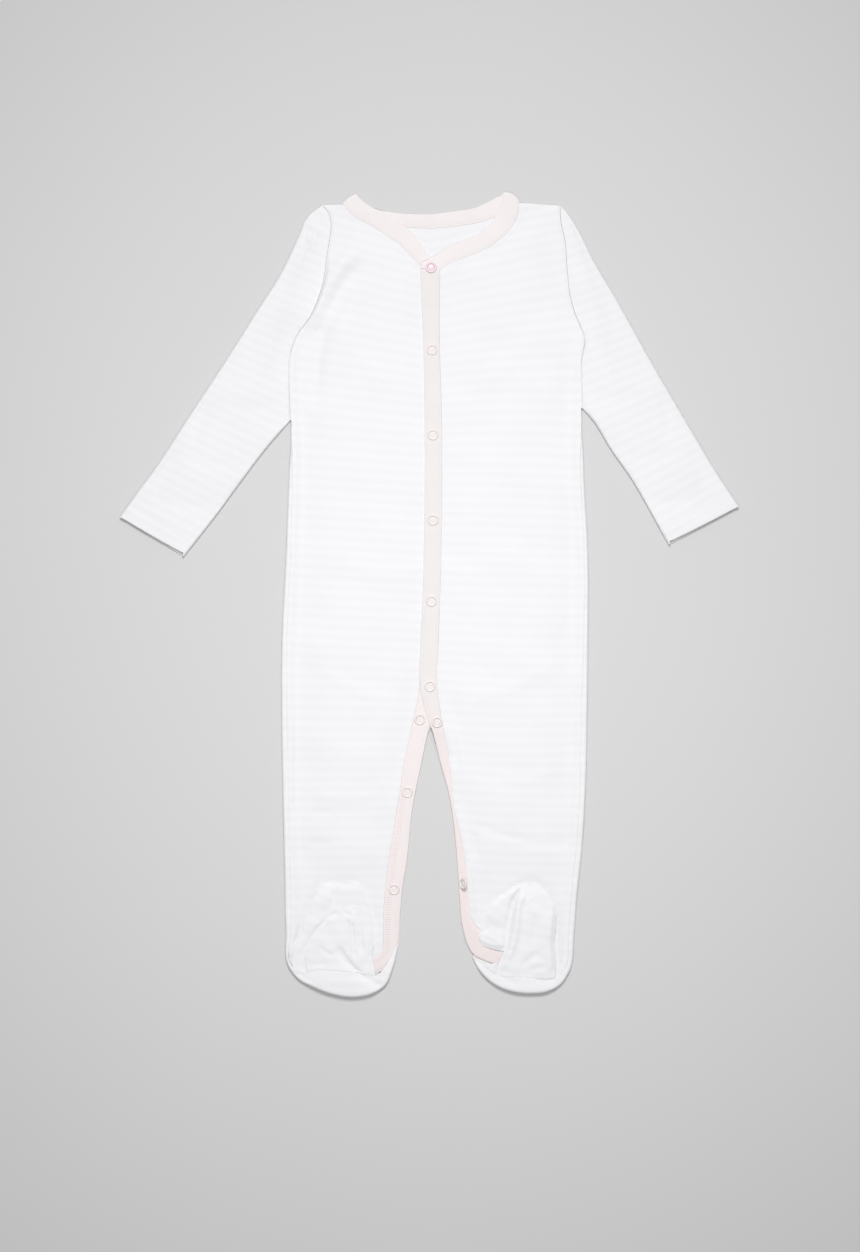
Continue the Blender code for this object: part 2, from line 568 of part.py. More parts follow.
def make_binding_back(collection):
    """One strip along the back's inner legs, round the crotch, flat on the floor."""
    halves = {}
    for side in HAND:
        ankle, _ = LEG_BACK_KNOTS[side]
        seam = beside(stations(LEG_BACK_SEAM[side], (ankle, LEG_STEPS)), side, SEAM / 2)
        seam[0] = (CENTRE_X, LEG_BACK_SEAM[side][0].y - SEAM / 2)
        edge = stations(LEG_BACK_EDGE[side], (-1, LEG_STEPS))
        rows = [strip_row(s, e, BACK_Z) for s, e in zip(seam, edge)]
        halves[side] = rows + [strip_row(*LEG_BACK_END[side], BACK_Z)]
    cloth("binding_back", [halves["right"][::-1] + halves["left"][1:]], BINDING_KNIT, collection)


def make_sole(side, collection):
    """Sole, facing up: its first row follows the heel seam and the rest close in to the toe."""
    first, last = SOLE_HEEL
    outline = outline_stations(side)
    normals = to_centre(outline, side)
    heel = []
    for step in range(first, last + 1):
        k = TRUNK_STEPS + LEG_STEPS + step
        plan = outline[k, :2] + (outline[k, 2] + SEAM / 2) * normals[k]
        heel.append((*plan, BACK_Z + 2 * heel_radius(step)))
    rows = [heel] + [foot_row(row, SOLE_Z, len(heel)) for row in SOLE[side]]
    if side == "left":
        rows = [row[::-1] for row in rows]
    cloth(f"foot_sole_{side}", [rows], STRIPED_KNIT, collection)


def make_upper(side, collection):
    """Foot upper, between the shin and the sole."""
    rows = [foot_row(row, OVER_Z, UPPER_POINTS) for row in UPPER[side]]
    if side == "left":
        rows = [row[::-1] for row in rows]
    cloth(f"foot_upper_{side}", [rows], STRIPED_KNIT, collection)


def foot_row(row, z, points):
    return [(x, row.y, z) for x in np.linspace(row.outer, row.inner, points)]


def make_snap(snap, collection):
    """A prong ring pressed through the binding; the knit shows in its open middle."""
    centre_z = snap.layer_z + CLOTH / 2 + SEAM + RING_WIRE
    bpy.ops.mesh.primitive_torus_add(
        major_segments=16, minor_segments=6, major_radius=RING_RADIUS * MM,
        minor_radius=RING_WIRE * MM, location=(snap.x * MM, snap.y * MM, centre_z * MM))
    ring = bpy.context.object
    ring.name = snap.name
    ring.data.name = snap.name
    ring.data.shade_smooth()
    ring.data.materials.append(material(SNAP_ENAMEL))
    for owner in list(ring.users_collection):
        owner.objects.unlink(ring)
    collection.objects.link(ring)


def main():
    clear_scene()
    sleepsuit = make_collection("footed_baby_sleepsuit")
    make_back(sleepsuit)
    for side in HAND:
        make_front(side, sleepsuit)
        make_sleeve(side, sleepsuit)
        make_upper(side, sleepsuit)
        make_sole(side, sleepsuit)
    make_neck_binding(sleepsuit)
    make_binding_under(sleepsuit)
    make_binding_over(sleepsuit)
    make_binding_back(sleepsuit)
    for snap in SNAPS:
        make_snap(snap, sleepsuit)


main()
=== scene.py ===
"""Looks of a footed baby sleepsuit of striped interlock cotton, snapped shut and laid flat on its back.

The neck is towards +Y, the wearer's right is towards -X, and the cloth lies on z = 0.
Sizes are in millimetres until a mesh is made. A cloth piece is drawn as the middle surface of its wall,
on a fine grid, and then gets its two faces and a rounded rim.
"""

from collections import namedtuple
from math import cos, pi, radians, sin

import bpy
import numpy as np
from bpy.props import FloatProperty, FloatVectorProperty, PointerProperty
from bpy.types import Operator, Panel, PropertyGroup
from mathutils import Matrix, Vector


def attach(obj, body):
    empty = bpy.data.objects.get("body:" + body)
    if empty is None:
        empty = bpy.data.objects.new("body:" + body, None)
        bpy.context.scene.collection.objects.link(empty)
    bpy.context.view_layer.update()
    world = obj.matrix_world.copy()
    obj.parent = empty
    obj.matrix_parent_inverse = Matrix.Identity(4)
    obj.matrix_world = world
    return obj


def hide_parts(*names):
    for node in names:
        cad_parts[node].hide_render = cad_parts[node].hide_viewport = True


bl_info = {
    "name": "Footed Baby Sleepsuit",
    "version": (1, 0, 0),
    "blender": (4, 5, 0),
    "location": "3D View > Sidebar > Sleepsuit",
    "description": "Builds a footed baby sleepsuit of striped cotton, laid flat on its back",
    "category": "Object",
}

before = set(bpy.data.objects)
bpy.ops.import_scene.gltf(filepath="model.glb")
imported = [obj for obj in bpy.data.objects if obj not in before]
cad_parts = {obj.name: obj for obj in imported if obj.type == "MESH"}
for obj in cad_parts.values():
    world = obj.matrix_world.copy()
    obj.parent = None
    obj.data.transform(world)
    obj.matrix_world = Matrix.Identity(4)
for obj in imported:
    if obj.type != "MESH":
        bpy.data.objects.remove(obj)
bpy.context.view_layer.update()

MM = 0.001
HAND = {"right": -1, "left": 1}
Plan = namedtuple("Plan", "x y")
Fold = namedtuple("Fold", "x y inset")  # outline, and how far inside it the front seam lies
FootRow = namedtuple("FootRow", "y outer inner")  # outer is the side away from the other leg


def table(kind, *rows):
    """A list of rows of one kind."""
    return [kind(*row) for row in rows]


# Layers, mm: the middle of each one's wall
PLY = 1.4
BACK_Z = 0.45
FRONT_Z = 1.9
OVER_Z = FRONT_Z + PLY
SOLE_Z = OVER_Z + PLY
SEAM = 0.08  # gap between two pieces at a seam
ROLL_RADIUS = 1.8  # soft fold along the side of the body
ROLL_TOP = BACK_Z + 2 * ROLL_RADIUS
ROLL_HEM = 0.6  # flat cloth between the fold and the front seam
FOLD_INSET = 0.5  # from the outline to the middle of the fold's wall
ROLL_REACH = 10.0  # the front sinks from the side fold to its own level within this
OVER_REACH = 14.0  # and from the over binding within this
OVER_LEVEL = 3.0  # after staying level over the under binding's edge
LAP = 1.0  # the body laps over the sleeve under the arm

# Stretches of the outlines, in steps; each step is divided into FINE rows
NECK_STEPS = 6
BACK_NECK_STEPS = 4
ARM_STEPS = 10
TRUNK_STEPS = 10
LEG_STEPS = 9
HEEL_STEPS = 8
HEEL_FAN = 4  # heel steps that end along the ankle; the others end at its corner
LAP_FROM = 7  # armhole step from which the body's edge is lifted off the sleeve
EASED = 3  # steps below the underarm where the front keeps a wider gap
FINE = 11
LAST = 99  # stands for any step past the last one
READ_OFF = 400  # points of a curve that is only read off
EDGE_STEPS = (0, 0.4, 0.9, 1.5, 2.3, 3.3, 4.5)  # columns of a front, in from its edges, mm
FRONT_GAP = 2.0  # between its other columns, mm
FOOT_PART_ROWS = 24
ARC_STEPS = 12  # round the side fold
HEM_STEPS = 9  # from the fold to the front seam
BACK_COLUMNS = 34  # from the fold to the middle
CURL_POINTS = 7  # round the over binding's edge along the leg
STRIP_END_ROWS = 5  # of a straight stretch at the end of a binding
OUTLINE_HEEL = (TRUNK_STEPS + LEG_STEPS) * FINE  # row of the outline where the heel begins
HEEL_ROW = ARM_STEPS * FINE + OUTLINE_HEEL  # the same, counted from the shoulder
HEEL_END_RADIUS = 0.9  # of the side fold where it ends at the ankle, mm

# Lift of the left front's inner edge onto the right front, in plies, by step
NECK_LIFTS = (0, 0, 0, 0, 0.2, 0.6)
CROTCH_LIFT = 0.85

# Armhole seam, from the shoulder to the underarm
ARMHOLE = {
    "right": table(Plan, (-92, 335), (-86.5, 328), (-84.5, 317), (-86, 305), (-88, 293), (-92.5, 265),
                   (-103.5, 238), (-114, 223), (-119, 209), (-119.5, 188), (-119, 168), (-119, 150.5)),
    "left": table(Plan, (112, 334.5), (113, 320), (116.5, 304.5), (118, 284), (121, 257), (125, 242),
                  (131, 228), (133.5, 219.5), (132, 210.5), (129.5, 201), (129.5, 182), (130.5, 161)),
}

# Outside of the folded body, from the underarm round the heel to the inner ankle
SIDE_KNOTS = {"right": (5, 9), "left": (5, 10)}  # knots at the crotch and where the heel begins
OUTLINE = {
    "right": table(Fold, (-119, 150.5, 0.2), (-119.4, 138, 1.3), (-121, 99, 3), (-123.5, 34, 4),
                   (-127, -39, 4.5), (-127.3, -100, 5), (-126, -176, 5), (-124.5, -245, 5),
                   (-123.5, -288, 4.2), (-121, -320, 3.6), (-113, -330, 8.5), (-99, -337.5, 17),
                   (-84, -343, 21), (-66, -345.7, 22), (-50, -343, 19), (-38, -335.5, 13),
                   (-31.5, -321, 7), (-27, -302.5, 1.5)),
    "left": table(Fold, (130.5, 161, 0.2), (131.1, 148.5, 1.3), (133, 99, 3), (136.3, 34, 3.5),
                  (136.3, -39, 4), (135.6, -100, 5), (133.7, -176, 5), (131, -219, 5), (126.5, -262, 5),
                  (124.3, -292, 5), (120, -324, 5), (113, -334.5, 8), (101, -341, 12), (87, -342.5, 14),
                  (74, -341.5, 14), (62, -338, 11), (51, -331.5, 8), (43, -323, 6), (36.5, -311.5, 1.5)),
}

# Neck: the seam of the binding to the cloth, and its free edge, from the shoulder to the centre front
NECK_SEAM = {
    "right": table(Plan, (-74.5, 335.5), (-67.5, 327), (-51, 317.5), (-36.5, 308.5), (-26, 301),
                   (-16.5, 291.5), (-6.5, 280.8)),
    "left": table(Plan, (77, 337), (76, 327), (70, 315.5), (60, 305), (46, 296), (29, 289), (17.5, 284.5),
                  (9, 278.6)),
}
NECK_EDGE = {
    "right": table(Plan, (-62.5, 344), (-51, 332), (-34, 325), (-21, 316.5), (-12.5, 308), (-5.5, 298),
                   (1.5, 290.3)),
    "left": table(Plan, (63, 345.3), (61.5, 336), (56.5, 326), (50, 316.5), (41, 310), (30.5, 305.5),
                  (17.5, 299.5), (9, 294), (1.5, 289.8)),
}
# Ends of the neck binding, (free edge, seam): the right one lies under the left one
NECK_UNDER_END = (Plan(7, 289.6), Plan(6.5, 279.6))
CLOSED = 0.9  # both rims are round, so they close in by this
NECK_OVER_END = [(Plan(-2.5, 288), Plan(1, 280.2)), (Plan(-6.4, 286.2), Plan(-8, 280.6))]
NECK_BOW = {"right": 1.0, "left": 2.6}  # the folds at the shoulders are round, not straight
SHOULDER_TURN = (60, 30, 0, -30, -60)  # points round a fold, in degrees, from the top down
# The same at the back, from the shoulder to the centre back
CENTRE_X = 1.0
UNDERARM_Y = 155.0
BACK_NECK_SEAM = {
    "right": table(Plan, (-74.5, 335.5), (-60, 327), (-42.5, 320), (-17.5, 316), (CENTRE_X, 315)),
    "left": table(Plan, (77, 337), (65, 330), (52, 323.4), (41, 320), (17.5, 316.5), (CENTRE_X, 315)),
}
BACK_NECK_EDGE = {
    "right": table(Plan, (-62.5, 344), (-54.5, 336.5), (-47.5, 333), (-28, 328.5), (CENTRE_X, 327.3)),
    "left": table(Plan, (63, 345.3), (52, 339), (41, 333.7), (17.5, 329.5), (CENTRE_X, 327.3)),
}

# Inner edge of each front, where its binding is sewn on, from the neck down to the ankle
FRONT_SEAM_KNOTS = (2, 8, 15)  # knots at the underarm's height, the crotch and the ankle
FRONT_SEAM = {
    "right": table(Plan, (-6.5, 280.8), (-4.5, 223.5), (-3.3, 150.5), (-3.3, 64.5), (-5, -4), (-6.7, -43),
                   (-8, -70), (-9.5, -86), (-12, -98), (-16.5, -120), (-20, -135), (-28, -185),
                   (-35, -228), (-38, -250), (-39.5, -272), (-40, -301)),
    "left": table(Plan, (9, 278.6), (8.5, 223.5), (10.4, 155), (10.4, 64.5), (9, -4), (7.6, -43),
                  (6.3, -70), (7, -84), (9, -98), (13, -120), (16.8, -138.5), (24.5, -185), (32.3, -228),
                  (34.8, -262), (36.4, -279), (41, -286)),
}
# Free edge of the same bindings, from the neck down to the ankle
FRONT_EDGE = {
    "right": table(Plan, (9.5, 280), (11.5, 223.5), (12.7, 150.5), (12.7, 64.5), (11, -4), (9, -43),
                   (8, -70), (6.5, -86), (4.5, -98), (-2.2, -121.5), (-6.5, -142), (-15, -185),
                   (-19.5, -228), (-23.6, -254), (-25.4, -275), (-27.8, -299)),
    "left": table(Plan, (-8, 280.8), (-5.6, 223.5), (-4.3, 155), (-4.3, 64.5), (-6, -4), (-7.7, -43),
                  (-8.2, -75), (-6.9, -86), (-3.9, -98.5), (3.4, -120.5), (9, -142), (16.8, -170),
                  (19.6, -185), (24.2, -228), (26.4, -262), (28.2, -282), (32, -298)),
}
# Turned-in ends of these bindings at the ankles: seam side and free side
UNDER_END = [(Plan(-43.5, -308.5), Plan(-30.5, -311)), (Plan(-53, -313.5), Plan(-41.5, -323.3)),
             (Plan(-60, -315.5), Plan(-52.5, -328.5))]
OVER_END = [(Plan(49, -290.5), Plan(32, -298)), (Plan(55.5, -298.5), Plan(37.5, -308)),
            (Plan(61, -305), Plan(49, -314.5)), (Plan(69, -308), Plan(62, -318))]
# How far the left leg's cloth rolls over its binding, by height
LEG_LAP = [(-285, 0), (-262, 1.3), (-245, 1.6), (-228, 1.6), (-205, 2.2), (-185, 3.0), (-165, 2.3),
           (-138, 0)]
LAP_RISE = 1.15  # and how high it stands there

# Where each front goes on under the foot: its inner edge from the ankle, and the heel steps that it reaches
FOOT_PART = {"right": ([Plan(-43.2, -309), Plan(-52.8, -314.5)], (1.0, 6.2)),
             "left": ([Plan(49, -290.6), Plan(55.6, -298.6), Plan(58.5, -307)], (1.0, 6.6))}
TUCK = 4.5  # its edge goes this far under the heel's fold

# Back inner-leg binding: its seam to the back, from the crotch to the ankle, and its free edge
LEG_BACK_KNOTS = {"right": (7, 8), "left": (8, 9)}
LEG_BACK_SEAM = {
    "right": table(Plan, (CENTRE_X, -97), (-8, -100.5), (-14, -111), (-18.5, -131.5), (-28, -185),
                   (-35, -228), (-39, -262), (-40, -297), (-40, -305.5)),
    "left": table(Plan, (CENTRE_X, -97), (11, -100.5), (18, -107), (24.5, -122), (29.5, -140), (37, -185),
                  (44.5, -228), (47.5, -262), (51, -304), (53, -315.5)),
}
LEG_BACK_EDGE = {
    "right": table(Plan, (CENTRE_X, -114.4), (-2.5, -121.5), (-6.5, -142), (-15, -185), (-19.5, -228),
                   (-23.6, -254), (-26.2, -297)),
    "left": table(Plan, (CENTRE_X, -114.4), (5, -116.5), (8.5, -125), (13, -142), (20.7, -185),
                  (28, -228), (30.8, -262), (34, -292), (36.5, -303)),
}
LEG_BACK_END = {"right": (Plan(-39.6, -304.4), Plan(-27, -303.6)),
                "left": (Plan(52.6, -314.6), Plan(38.3, -312))}

# Sleeves: the fold along the shoulder and the underarm fold, from the body to the cuff
SHOULDER_FOLD = {
    "right": table(Plan, (-92, 335), (-98.5, 331), (-103, 327), (-107, 322), (-110, 314), (-114, 305),
                   (-126, 279.5), (-150, 241), (-183, 189), (-208.5, 150.5), (-233.5, 112), (-252.5, 86),
                   (-266.2, 67)),
    "left": table(Plan, (112, 334.5), (116, 331), (119.5, 326.5), (127.5, 314), (140.5, 288),
                  (160.5, 254), (189.5, 202), (219.5, 150.5), (250.5, 99), (265.9, 76)),
}
UNDERARM_FOLD = {
    "right": table(Plan, (-119, 150.5), (-141.5, 124.7), (-161, 99), (-180, 73), (-211, 33)),
    "left": table(Plan, (130.5, 161), (140, 150.5), (156, 125), (174, 99), (189, 73), (196, 60),
                  (205.5, 43)),
}
SLEEVE_EASE = 0.13  # share of the sleeve over which its folds fill out
SLEEVE_RADIUS = 1.75  # fold along the sleeve
CAP_LENGTH = 0.5  # share of the sleeve over which the armhole's curve dies out
SQUARE_OFF = 11.0  # how far its rings bow down the sleeve, to leave the armhole square
SLEEVE_ACROSS = 46  # points across each layer of a sleeve
SLEEVE_RINGS = 150
CUFF_HEM = 10  # the cuff is thicker up to here, mm
HEM_SLOPE = 3.5
HEM_STITCHES = 12  # line of its stitches

# Feet, turned up over the shins with the soles facing up: rows from the heel to the toe
SOLE_HEEL = (1, 6)  # heel steps between which the sole is sewn on
SOLE = {
    "right": table(FootRow, (-309.6, -107.5, -49.5), (-297, -103, -49), (-281, -91.5, -50.3),
                   (-266.6, -87, -53.2), (-255.4, -86, -56.6), (-248.5, -82.5, -60.6),
                   (-245.4, -77, -65.5)),
    "left": table(FootRow, (-315.6, 107.9, 59.8), (-301, 106.6, 65.8), (-284, 108.4, 69.2),
                  (-268.3, 108.4, 72.7), (-258, 103, 77), (-251, 97.6, 80.4), (-246, 90, 83)),
}
UPPER = {
    "right": table(FootRow, (-326, -115.6, -52), (-312, -118.0, -49.8), (-300, -115, -47.8),
                   (-289, -110.4, -49.5), (-277, -106, -51.4), (-266, -101.7, -53.6),
                   (-254, -96.4, -56.6), (-248.5, -92, -59.5), (-246.2, -85, -64)),
    "left": table(FootRow, (-307, 106.2, 46), (-299, 106.8, 42.5), (-293, 107.3, 43.5),
                  (-286.5, 107.8, 48.5), (-279, 108.2, 48.5), (-271, 108.4, 49.5), (-264.5, 106.2, 53),
                  (-258, 101.9, 62.4), (-251, 96.8, 71.8), (-246.4, 89.5, 80)),
}

# Ring snaps: where each sits, and the layer it is pressed into
Snap = namedtuple("Snap", "name x y layer_z turn", defaults=(0.0,))  # turn: degrees that it has rolled over
SNAPS = [
    Snap("snap_front_1", 1.3, 281.2, OVER_Z + 0.4), Snap("snap_front_2", 2.2, 210.7, OVER_Z),
    Snap("snap_front_3", 3.0, 137.6, OVER_Z), Snap("snap_front_4", 3.0, 64.5, OVER_Z),
    Snap("snap_front_5", 1.8, -5.2, OVER_Z), Snap("snap_front_6", 0.4, -78.3, OVER_Z),
    Snap("snap_leg_right_1", -8.2, -107.0, FRONT_Z), Snap("snap_leg_right_2", -19.3, -169.4, FRONT_Z),
    Snap("snap_leg_right_3", -30.5, -252.8, FRONT_Z), Snap("snap_leg_left_1", 6.5, -109.2, OVER_Z),
    Snap("snap_leg_left_2", 28.6, -247.7, FRONT_Z, 52.0),
]

# Lie of the cloth, mm
PLUMP = 2.1  # air between front and back
CALM_Y = -262  # below this the cloth lies calm under the feet
FRONT_CALM_Y = -256  # and the front below this
CALM_REACH = 40
SINK_Y = -303  # below this the right front's edge goes down under the foot
SINK_REACH = 11
FLUSH_Y = -286  # above this the right sole's edge is flush with its upper
FLUSH_REACH = 10
SEAM_DIP = 0.16  # a sewn edge turns in
SEAM_REACH = 1.6
ARM_GAP = 0.2  # from the armhole seam to each side's cloth
ARMHOLE_DIP = 0.6
ARMHOLE_REACH = 3.0
SEAM_RIDGE = 0.22  # the seam allowance behind the cloth
CLOTH_WALL = 0.8
SEWN_RIM = 0.12  # share of a sewn edge's height that is rounded off
LAYER_GAP = 0.12  # between two layers that press on each other
BINDING_WALL = 1.1
BINDING_RIM = 0.7  # share of its edges' height that is rounded off
FREE_RIM = 0.4  # the same, of other edges
BINDING_CROWN = 0.35
BINDING_DIP = 0.25  # its sewn edge turns in
BINDING_DIP_REACH = 1.4
BINDING_FLOOR_Z = BINDING_WALL / 2 + 0.03
SHOWS_Y = -75  # below this the under binding comes out from under the other one
SHOWS_REACH = 30
STITCH_LINE = 2.1  # topstitching, in from a binding's edges, and in from the neck's seam
NECK_STITCH_LINE = 1.9
STITCH_DIP = 0.18  # it presses in, over this width
STITCH_WIDTH = 0.7
STITCH_SHARE = 0.72  # of the pitch that a stitch covers
THREAD_RADIUS = 0.2
LOOPER_RADIUS = 0.28  # real ones are 0.15, too fine to show
LADDER = {"under_strip": (1.4, 7.2), "over_strip": (0.9, 3.6)}  # looper threads, in from the seam
# The under strip's ladder takes the darker looper thread: its tone is painted shade
LADDER_THREAD = {"under_strip": "spun_thread_looper", "over_strip": "spun_thread"}
LADDER_PITCH = 2.0

# A crease runs along its points; lean is how much narrower its right-hand slope is than its left-hand one
Crease = namedtuple("Crease", "points width depth lean", defaults=(1,))
UPPER_CREASES = table(
    Crease,
    ([(-50, 291), (-66, 277), (-78, 258), (-86, 242), (-95, 216), (-101, 190), (-104, 160)], 9, 3.6, 0.9),
    ([(-57, 299), (-73, 286), (-86, 265), (-94, 247), (-103, 221)], 9, -4.2),
    ([(-38, 282), (-58, 260), (-72, 236), (-82, 208), (-88, 176)], 15, -1.6),
    ([(-109, 168), (-109, 50), (-113, -60), (-115, -180), (-114, -235)], 4.5, 0.5),
    ([(118, 190), (120, 110), (121, 30), (119, -40)], 4.5, 0.5),
    ([(30, -17), (30, -28)], 1.6, 0.35),
    ([(33, -34), (33.5, -57)], 1.8, 0.35),
    ([(17.6, -100), (25.4, -128), (27, -138), (28.8, -188), (31, -205)], 1.7, -0.45),
    ([(38.8, -203), (41, -227)], 2.0, 0.5),
    ([(34, -197), (60, -205), (105, -214), (127, -210)], 4.5, 0.6, 0.7),
    ([(-104, -187), (-80, -188)], 3.5, 0.45),
    ([(-106, -213), (-82, -214)], 3.5, 0.45),
    ([(-101, -262), (-93, -249), (-81, -241.5), (-66, -241.5), (-56, -248), (-51, -262)], 15, -0.25, 0.16),
    ([(44, -262), (58, -255), (71, -248.5), (81, -242), (92, -242), (104, -251), (111, -264)],
     15, -0.8, 0.16),
    ([(-96, -245), (-99, -256), (-106, -270), (-109.5, -281), (-113, -291), (-119, -303)], 1.8, 1.1, 0.8),
    ([(110, -264), (110.5, -280), (110, -296), (111, -312), (113, -326)], 1.8, 0.7),
    ([(109, -296.5), (118, -297.7)], 1.6, 0.5),
    ([(-47, -266), (-45.5, -276), (-44, -288)], 3.0, 0.5),
    ([(-66, -319.5), (-56, -327.8), (-48.9, -332), (-38, -336)], 2.4, 1.2, 1.7),
    ([(-119, -322), (-112, -326), (-104, -327)], 1.8, 0.5),
    ([(-112, -331), (-104, -330), (-96, -334)], 1.6, 0.4),
    ([(58, -322), (66, -330), (80, -335)], 3.0, 0.5),
    ([(88, -329), (100.7, -331), (110, -329)], 2.0, 0.7),
    ([(-98, 317), (-89, 316)], 1.6, 0.35),
    ([(-91, 311), (-88.5, 299)], 1.6, 0.4),
    ([(-110, 318), (-104, 309), (-99, 296)], 2.2, 0.5),
    ([(117.4, 324), (119, 318), (120.5, 313)], 1.6, 0.5),
)
FLOOR_CREASES = table(
    Crease,
    ([(-96, 250), (-60, 205), (-30, 175)], 8, -0.6),
    ([(104, 246), (70, 200), (34, 168)], 9, -0.55),
    ([(-84, 30), (-40, 18), (10, 24), (60, 12)], 7, -0.45),
    ([(-98, -62), (-55, -84), (-20, -92)], 6, -0.45),
    ([(112, -58), (70, -80), (30, -90)], 6, -0.4),
    ([(6, 285), (3, 190), (6, 80)], 10, -0.7),
    ([(-104, -168), (-70, -176), (-46, -170)], 5, -0.4),
    ([(112, -150), (80, -160), (52, -152)], 5, -0.4),
)

# Courses of the body: how much they rise for each mm outwards, near the centre front and near the side
COURSE_BREAK = 62.0
Rise = namedtuple("Rise", "y near side")
COURSE_RISE = {
    "right": table(Rise, (-176, -0.01, -0.01), (-125, 0.0, 0.0), (-73, 0.037, 0.037), (-21, 0.05, 0.05),
                   (82, 0.06, 0.06), (133, 0.08, 0.08), (185, 0.13, 0.13), (236, 0.19, 0.19),
                   (288, 0.28, 0.26)),
    "left": table(Rise, (-176, -0.13, 0.02), (-125, -0.12, 0.05), (-73, -0.1, 0.02), (-21, -0.06, 0.0),
                  (30, -0.02, -0.03), (82, 0.0, -0.05), (133, 0.05, -0.05), (185, 0.13, -0.02),
                  (236, 0.2, 0.1), (288, 0.24, 0.2)),
}


def linear(code):
    """A hex sRGB colour as linear red, green and blue."""
    parts = [int(code[k:k + 2], 16) / 255 for k in (1, 3, 5)]
    return tuple(p / 12.92 if p <= 0.04045 else ((p + 0.055) / 1.055) ** 2.4 for p in parts)


# ---- curves and shapes

def unit(vectors):
    return vectors / np.linalg.norm(vectors, axis=-1, keepdims=True)


def reach_along(line):
    """Length along a line of points to each of them."""
    return np.concatenate([[0.0], np.cumsum(np.linalg.norm(np.diff(line, axis=0), axis=1))])


def read_rows(line, at):
    """Points of a line at places that are counted in its rows."""
    return np.column_stack([np.interp(at, np.arange(len(line)), column) for column in line.T])


def stations(knots, *stretches):
    """Points of a smooth curve through the knots. A stretch is (its last knot, its number of steps)."""
    knots = np.array(knots, float)
    reach = reach_along(knots[:, :2])
    slopes = np.gradient(knots, reach, axis=0)
    at, start = [0.0], 0
    for last, steps in stretches:
        at += list(np.linspace(reach[start], reach[last], steps + 1)[1:])
        start = last
    at = np.array(at)
    k = np.clip(np.searchsorted(reach, at, side="right") - 1, 0, len(knots) - 2)
    span = (reach[k + 1] - reach[k])[:, None]
    t = (at - reach[k])[:, None] / span
    start = (1 + 2 * t) * (1 - t) ** 2 * knots[k] + t * (1 - t) ** 2 * span * slopes[k]
    end = t * t * (3 - 2 * t) * knots[k + 1] - t * t * (1 - t) * span * slopes[k + 1]
    return start + end


def to_centre(points, side):
    """Unit vectors square to a line that runs down one side, towards the garment's centre."""
    along = unit(np.gradient(np.array(points)[:, :2], axis=0))
    return HAND[side] * np.column_stack([along[:, 1], -along[:, 0]])


def beside(points, side, distance):
    return np.array(points)[:, :2] + np.reshape(distance, (-1, 1)) * to_centre(points, side)


def between(start, end, shares):
    """Points on the straight line from start to end."""
    shares = np.reshape(shares, (-1, 1))
    return np.asarray(start) * (1 - shares) + np.asarray(end) * shares


def parts_of_one(count):
    """The ends of that many equal parts of 1."""
    return np.linspace(0, 1, count + 1)[1:]


def fall(share):
    """1 at 0, falling softly to 0 at 1."""
    return 0.5 * (1 + np.cos(pi * np.clip(share, 0, 1)))


def rise(share):
    return 1 - fall(share)


def mix(a, b, share):
    """Between two rows of points, for each share: (rows, shares, values)."""
    share = np.asarray(share)[..., None]
    return np.asarray(a)[:, None] * (1 - share) + np.asarray(b)[:, None] * share


def bell(distance, width):
    return np.exp(-(distance / width) ** 2)


def by_step(steps, values, rows):
    """Values given at some steps, read for each fine row."""
    return np.interp(np.arange(rows) / FINE, steps, values)


def swell(x, y, seed, longest, count=6):
    """Uneven waves of about unit height."""
    random = np.random.default_rng(seed)
    total = np.zeros(np.shape(x))
    for _ in range(count):
        heading, phase = random.uniform(0, pi), random.uniform(0, 2 * pi)
        length = longest * random.uniform(0.4, 1)
        total += np.sin(2 * pi * (x * cos(heading) + y * sin(heading)) / length + phase)
    return total / count ** 0.5


def crease_drop(x, y, creases):
    """How far the creases let the cloth down at each place."""
    drop = np.zeros(np.shape(x))
    for crease in creases:
        line = stations(crease.points, (-1, 6 * (len(crease.points) - 1)))
        lengths = np.linalg.norm(np.diff(line, axis=0), axis=1)
        begin = reach_along(line)
        whole = begin[-1]
        reach = 3 * abs(crease.width)
        low, high = line.min(0) - reach, line.max(0) + reach
        near = (x > low[0]) & (x < high[0]) & (y > low[1]) & (y < high[1])
        if not near.any():
            continue
        px, py = x[near], y[near]
        best = np.full(px.shape, np.inf)
        where, turn = np.zeros(px.shape), np.ones(px.shape)
        for k, (a, b) in enumerate(zip(line, line[1:])):
            dx, dy = b - a
            t = np.clip(((px - a[0]) * dx + (py - a[1]) * dy) / (dx * dx + dy * dy), 0, 1)
            ox, oy = px - a[0] - t * dx, py - a[1] - t * dy
            gap = ox * ox + oy * oy
            closer = gap < best
            best = np.where(closer, gap, best)
            where = np.where(closer, begin[k] + t * lengths[k], where)
            turn = np.where(closer, dx * oy - dy * ox, turn)
        width = np.where(turn < 0, crease.width * crease.lean, crease.width)
        fade = min(0.3 * whole, 3 * crease.width)
        ends = rise(where / fade) * rise((whole - where) / fade)
        drop[near] += crease.depth * bell(np.sqrt(best), width) * ends
    return drop


def calm(y, least, top=CALM_Y):
    """1 on the body, and less and less below the given height."""
    return least + (1 - least) * rise((y - top) / CALM_REACH)


def air(y):
    """Most air between front and back at each height."""
    return PLUMP * calm(y, 0.12, FRONT_CALM_Y)


def floor_lift(x, y):
    """The layer on the floor rises a little here and there."""
    lift = 0.3 * (1 + np.tanh(swell(x, y, seed=11, longest=95))) / 2
    return (lift - crease_drop(x, y, FLOOR_CREASES)) * calm(y, 0)


def upper_lift(x, y):
    """Swells and creases of whatever lies on top, over its own level."""
    return calm(y, 0.25) * 0.3 * swell(x, y, seed=5, longest=90) - crease_drop(x, y, UPPER_CREASES)


def along_rows(points):
    """Length from the first row to each row, by column, seen from above."""
    steps = np.linalg.norm(np.diff(points[..., :2], axis=0), axis=-1)
    return np.concatenate([np.zeros((1, *steps.shape[1:])), np.cumsum(steps, axis=0)])


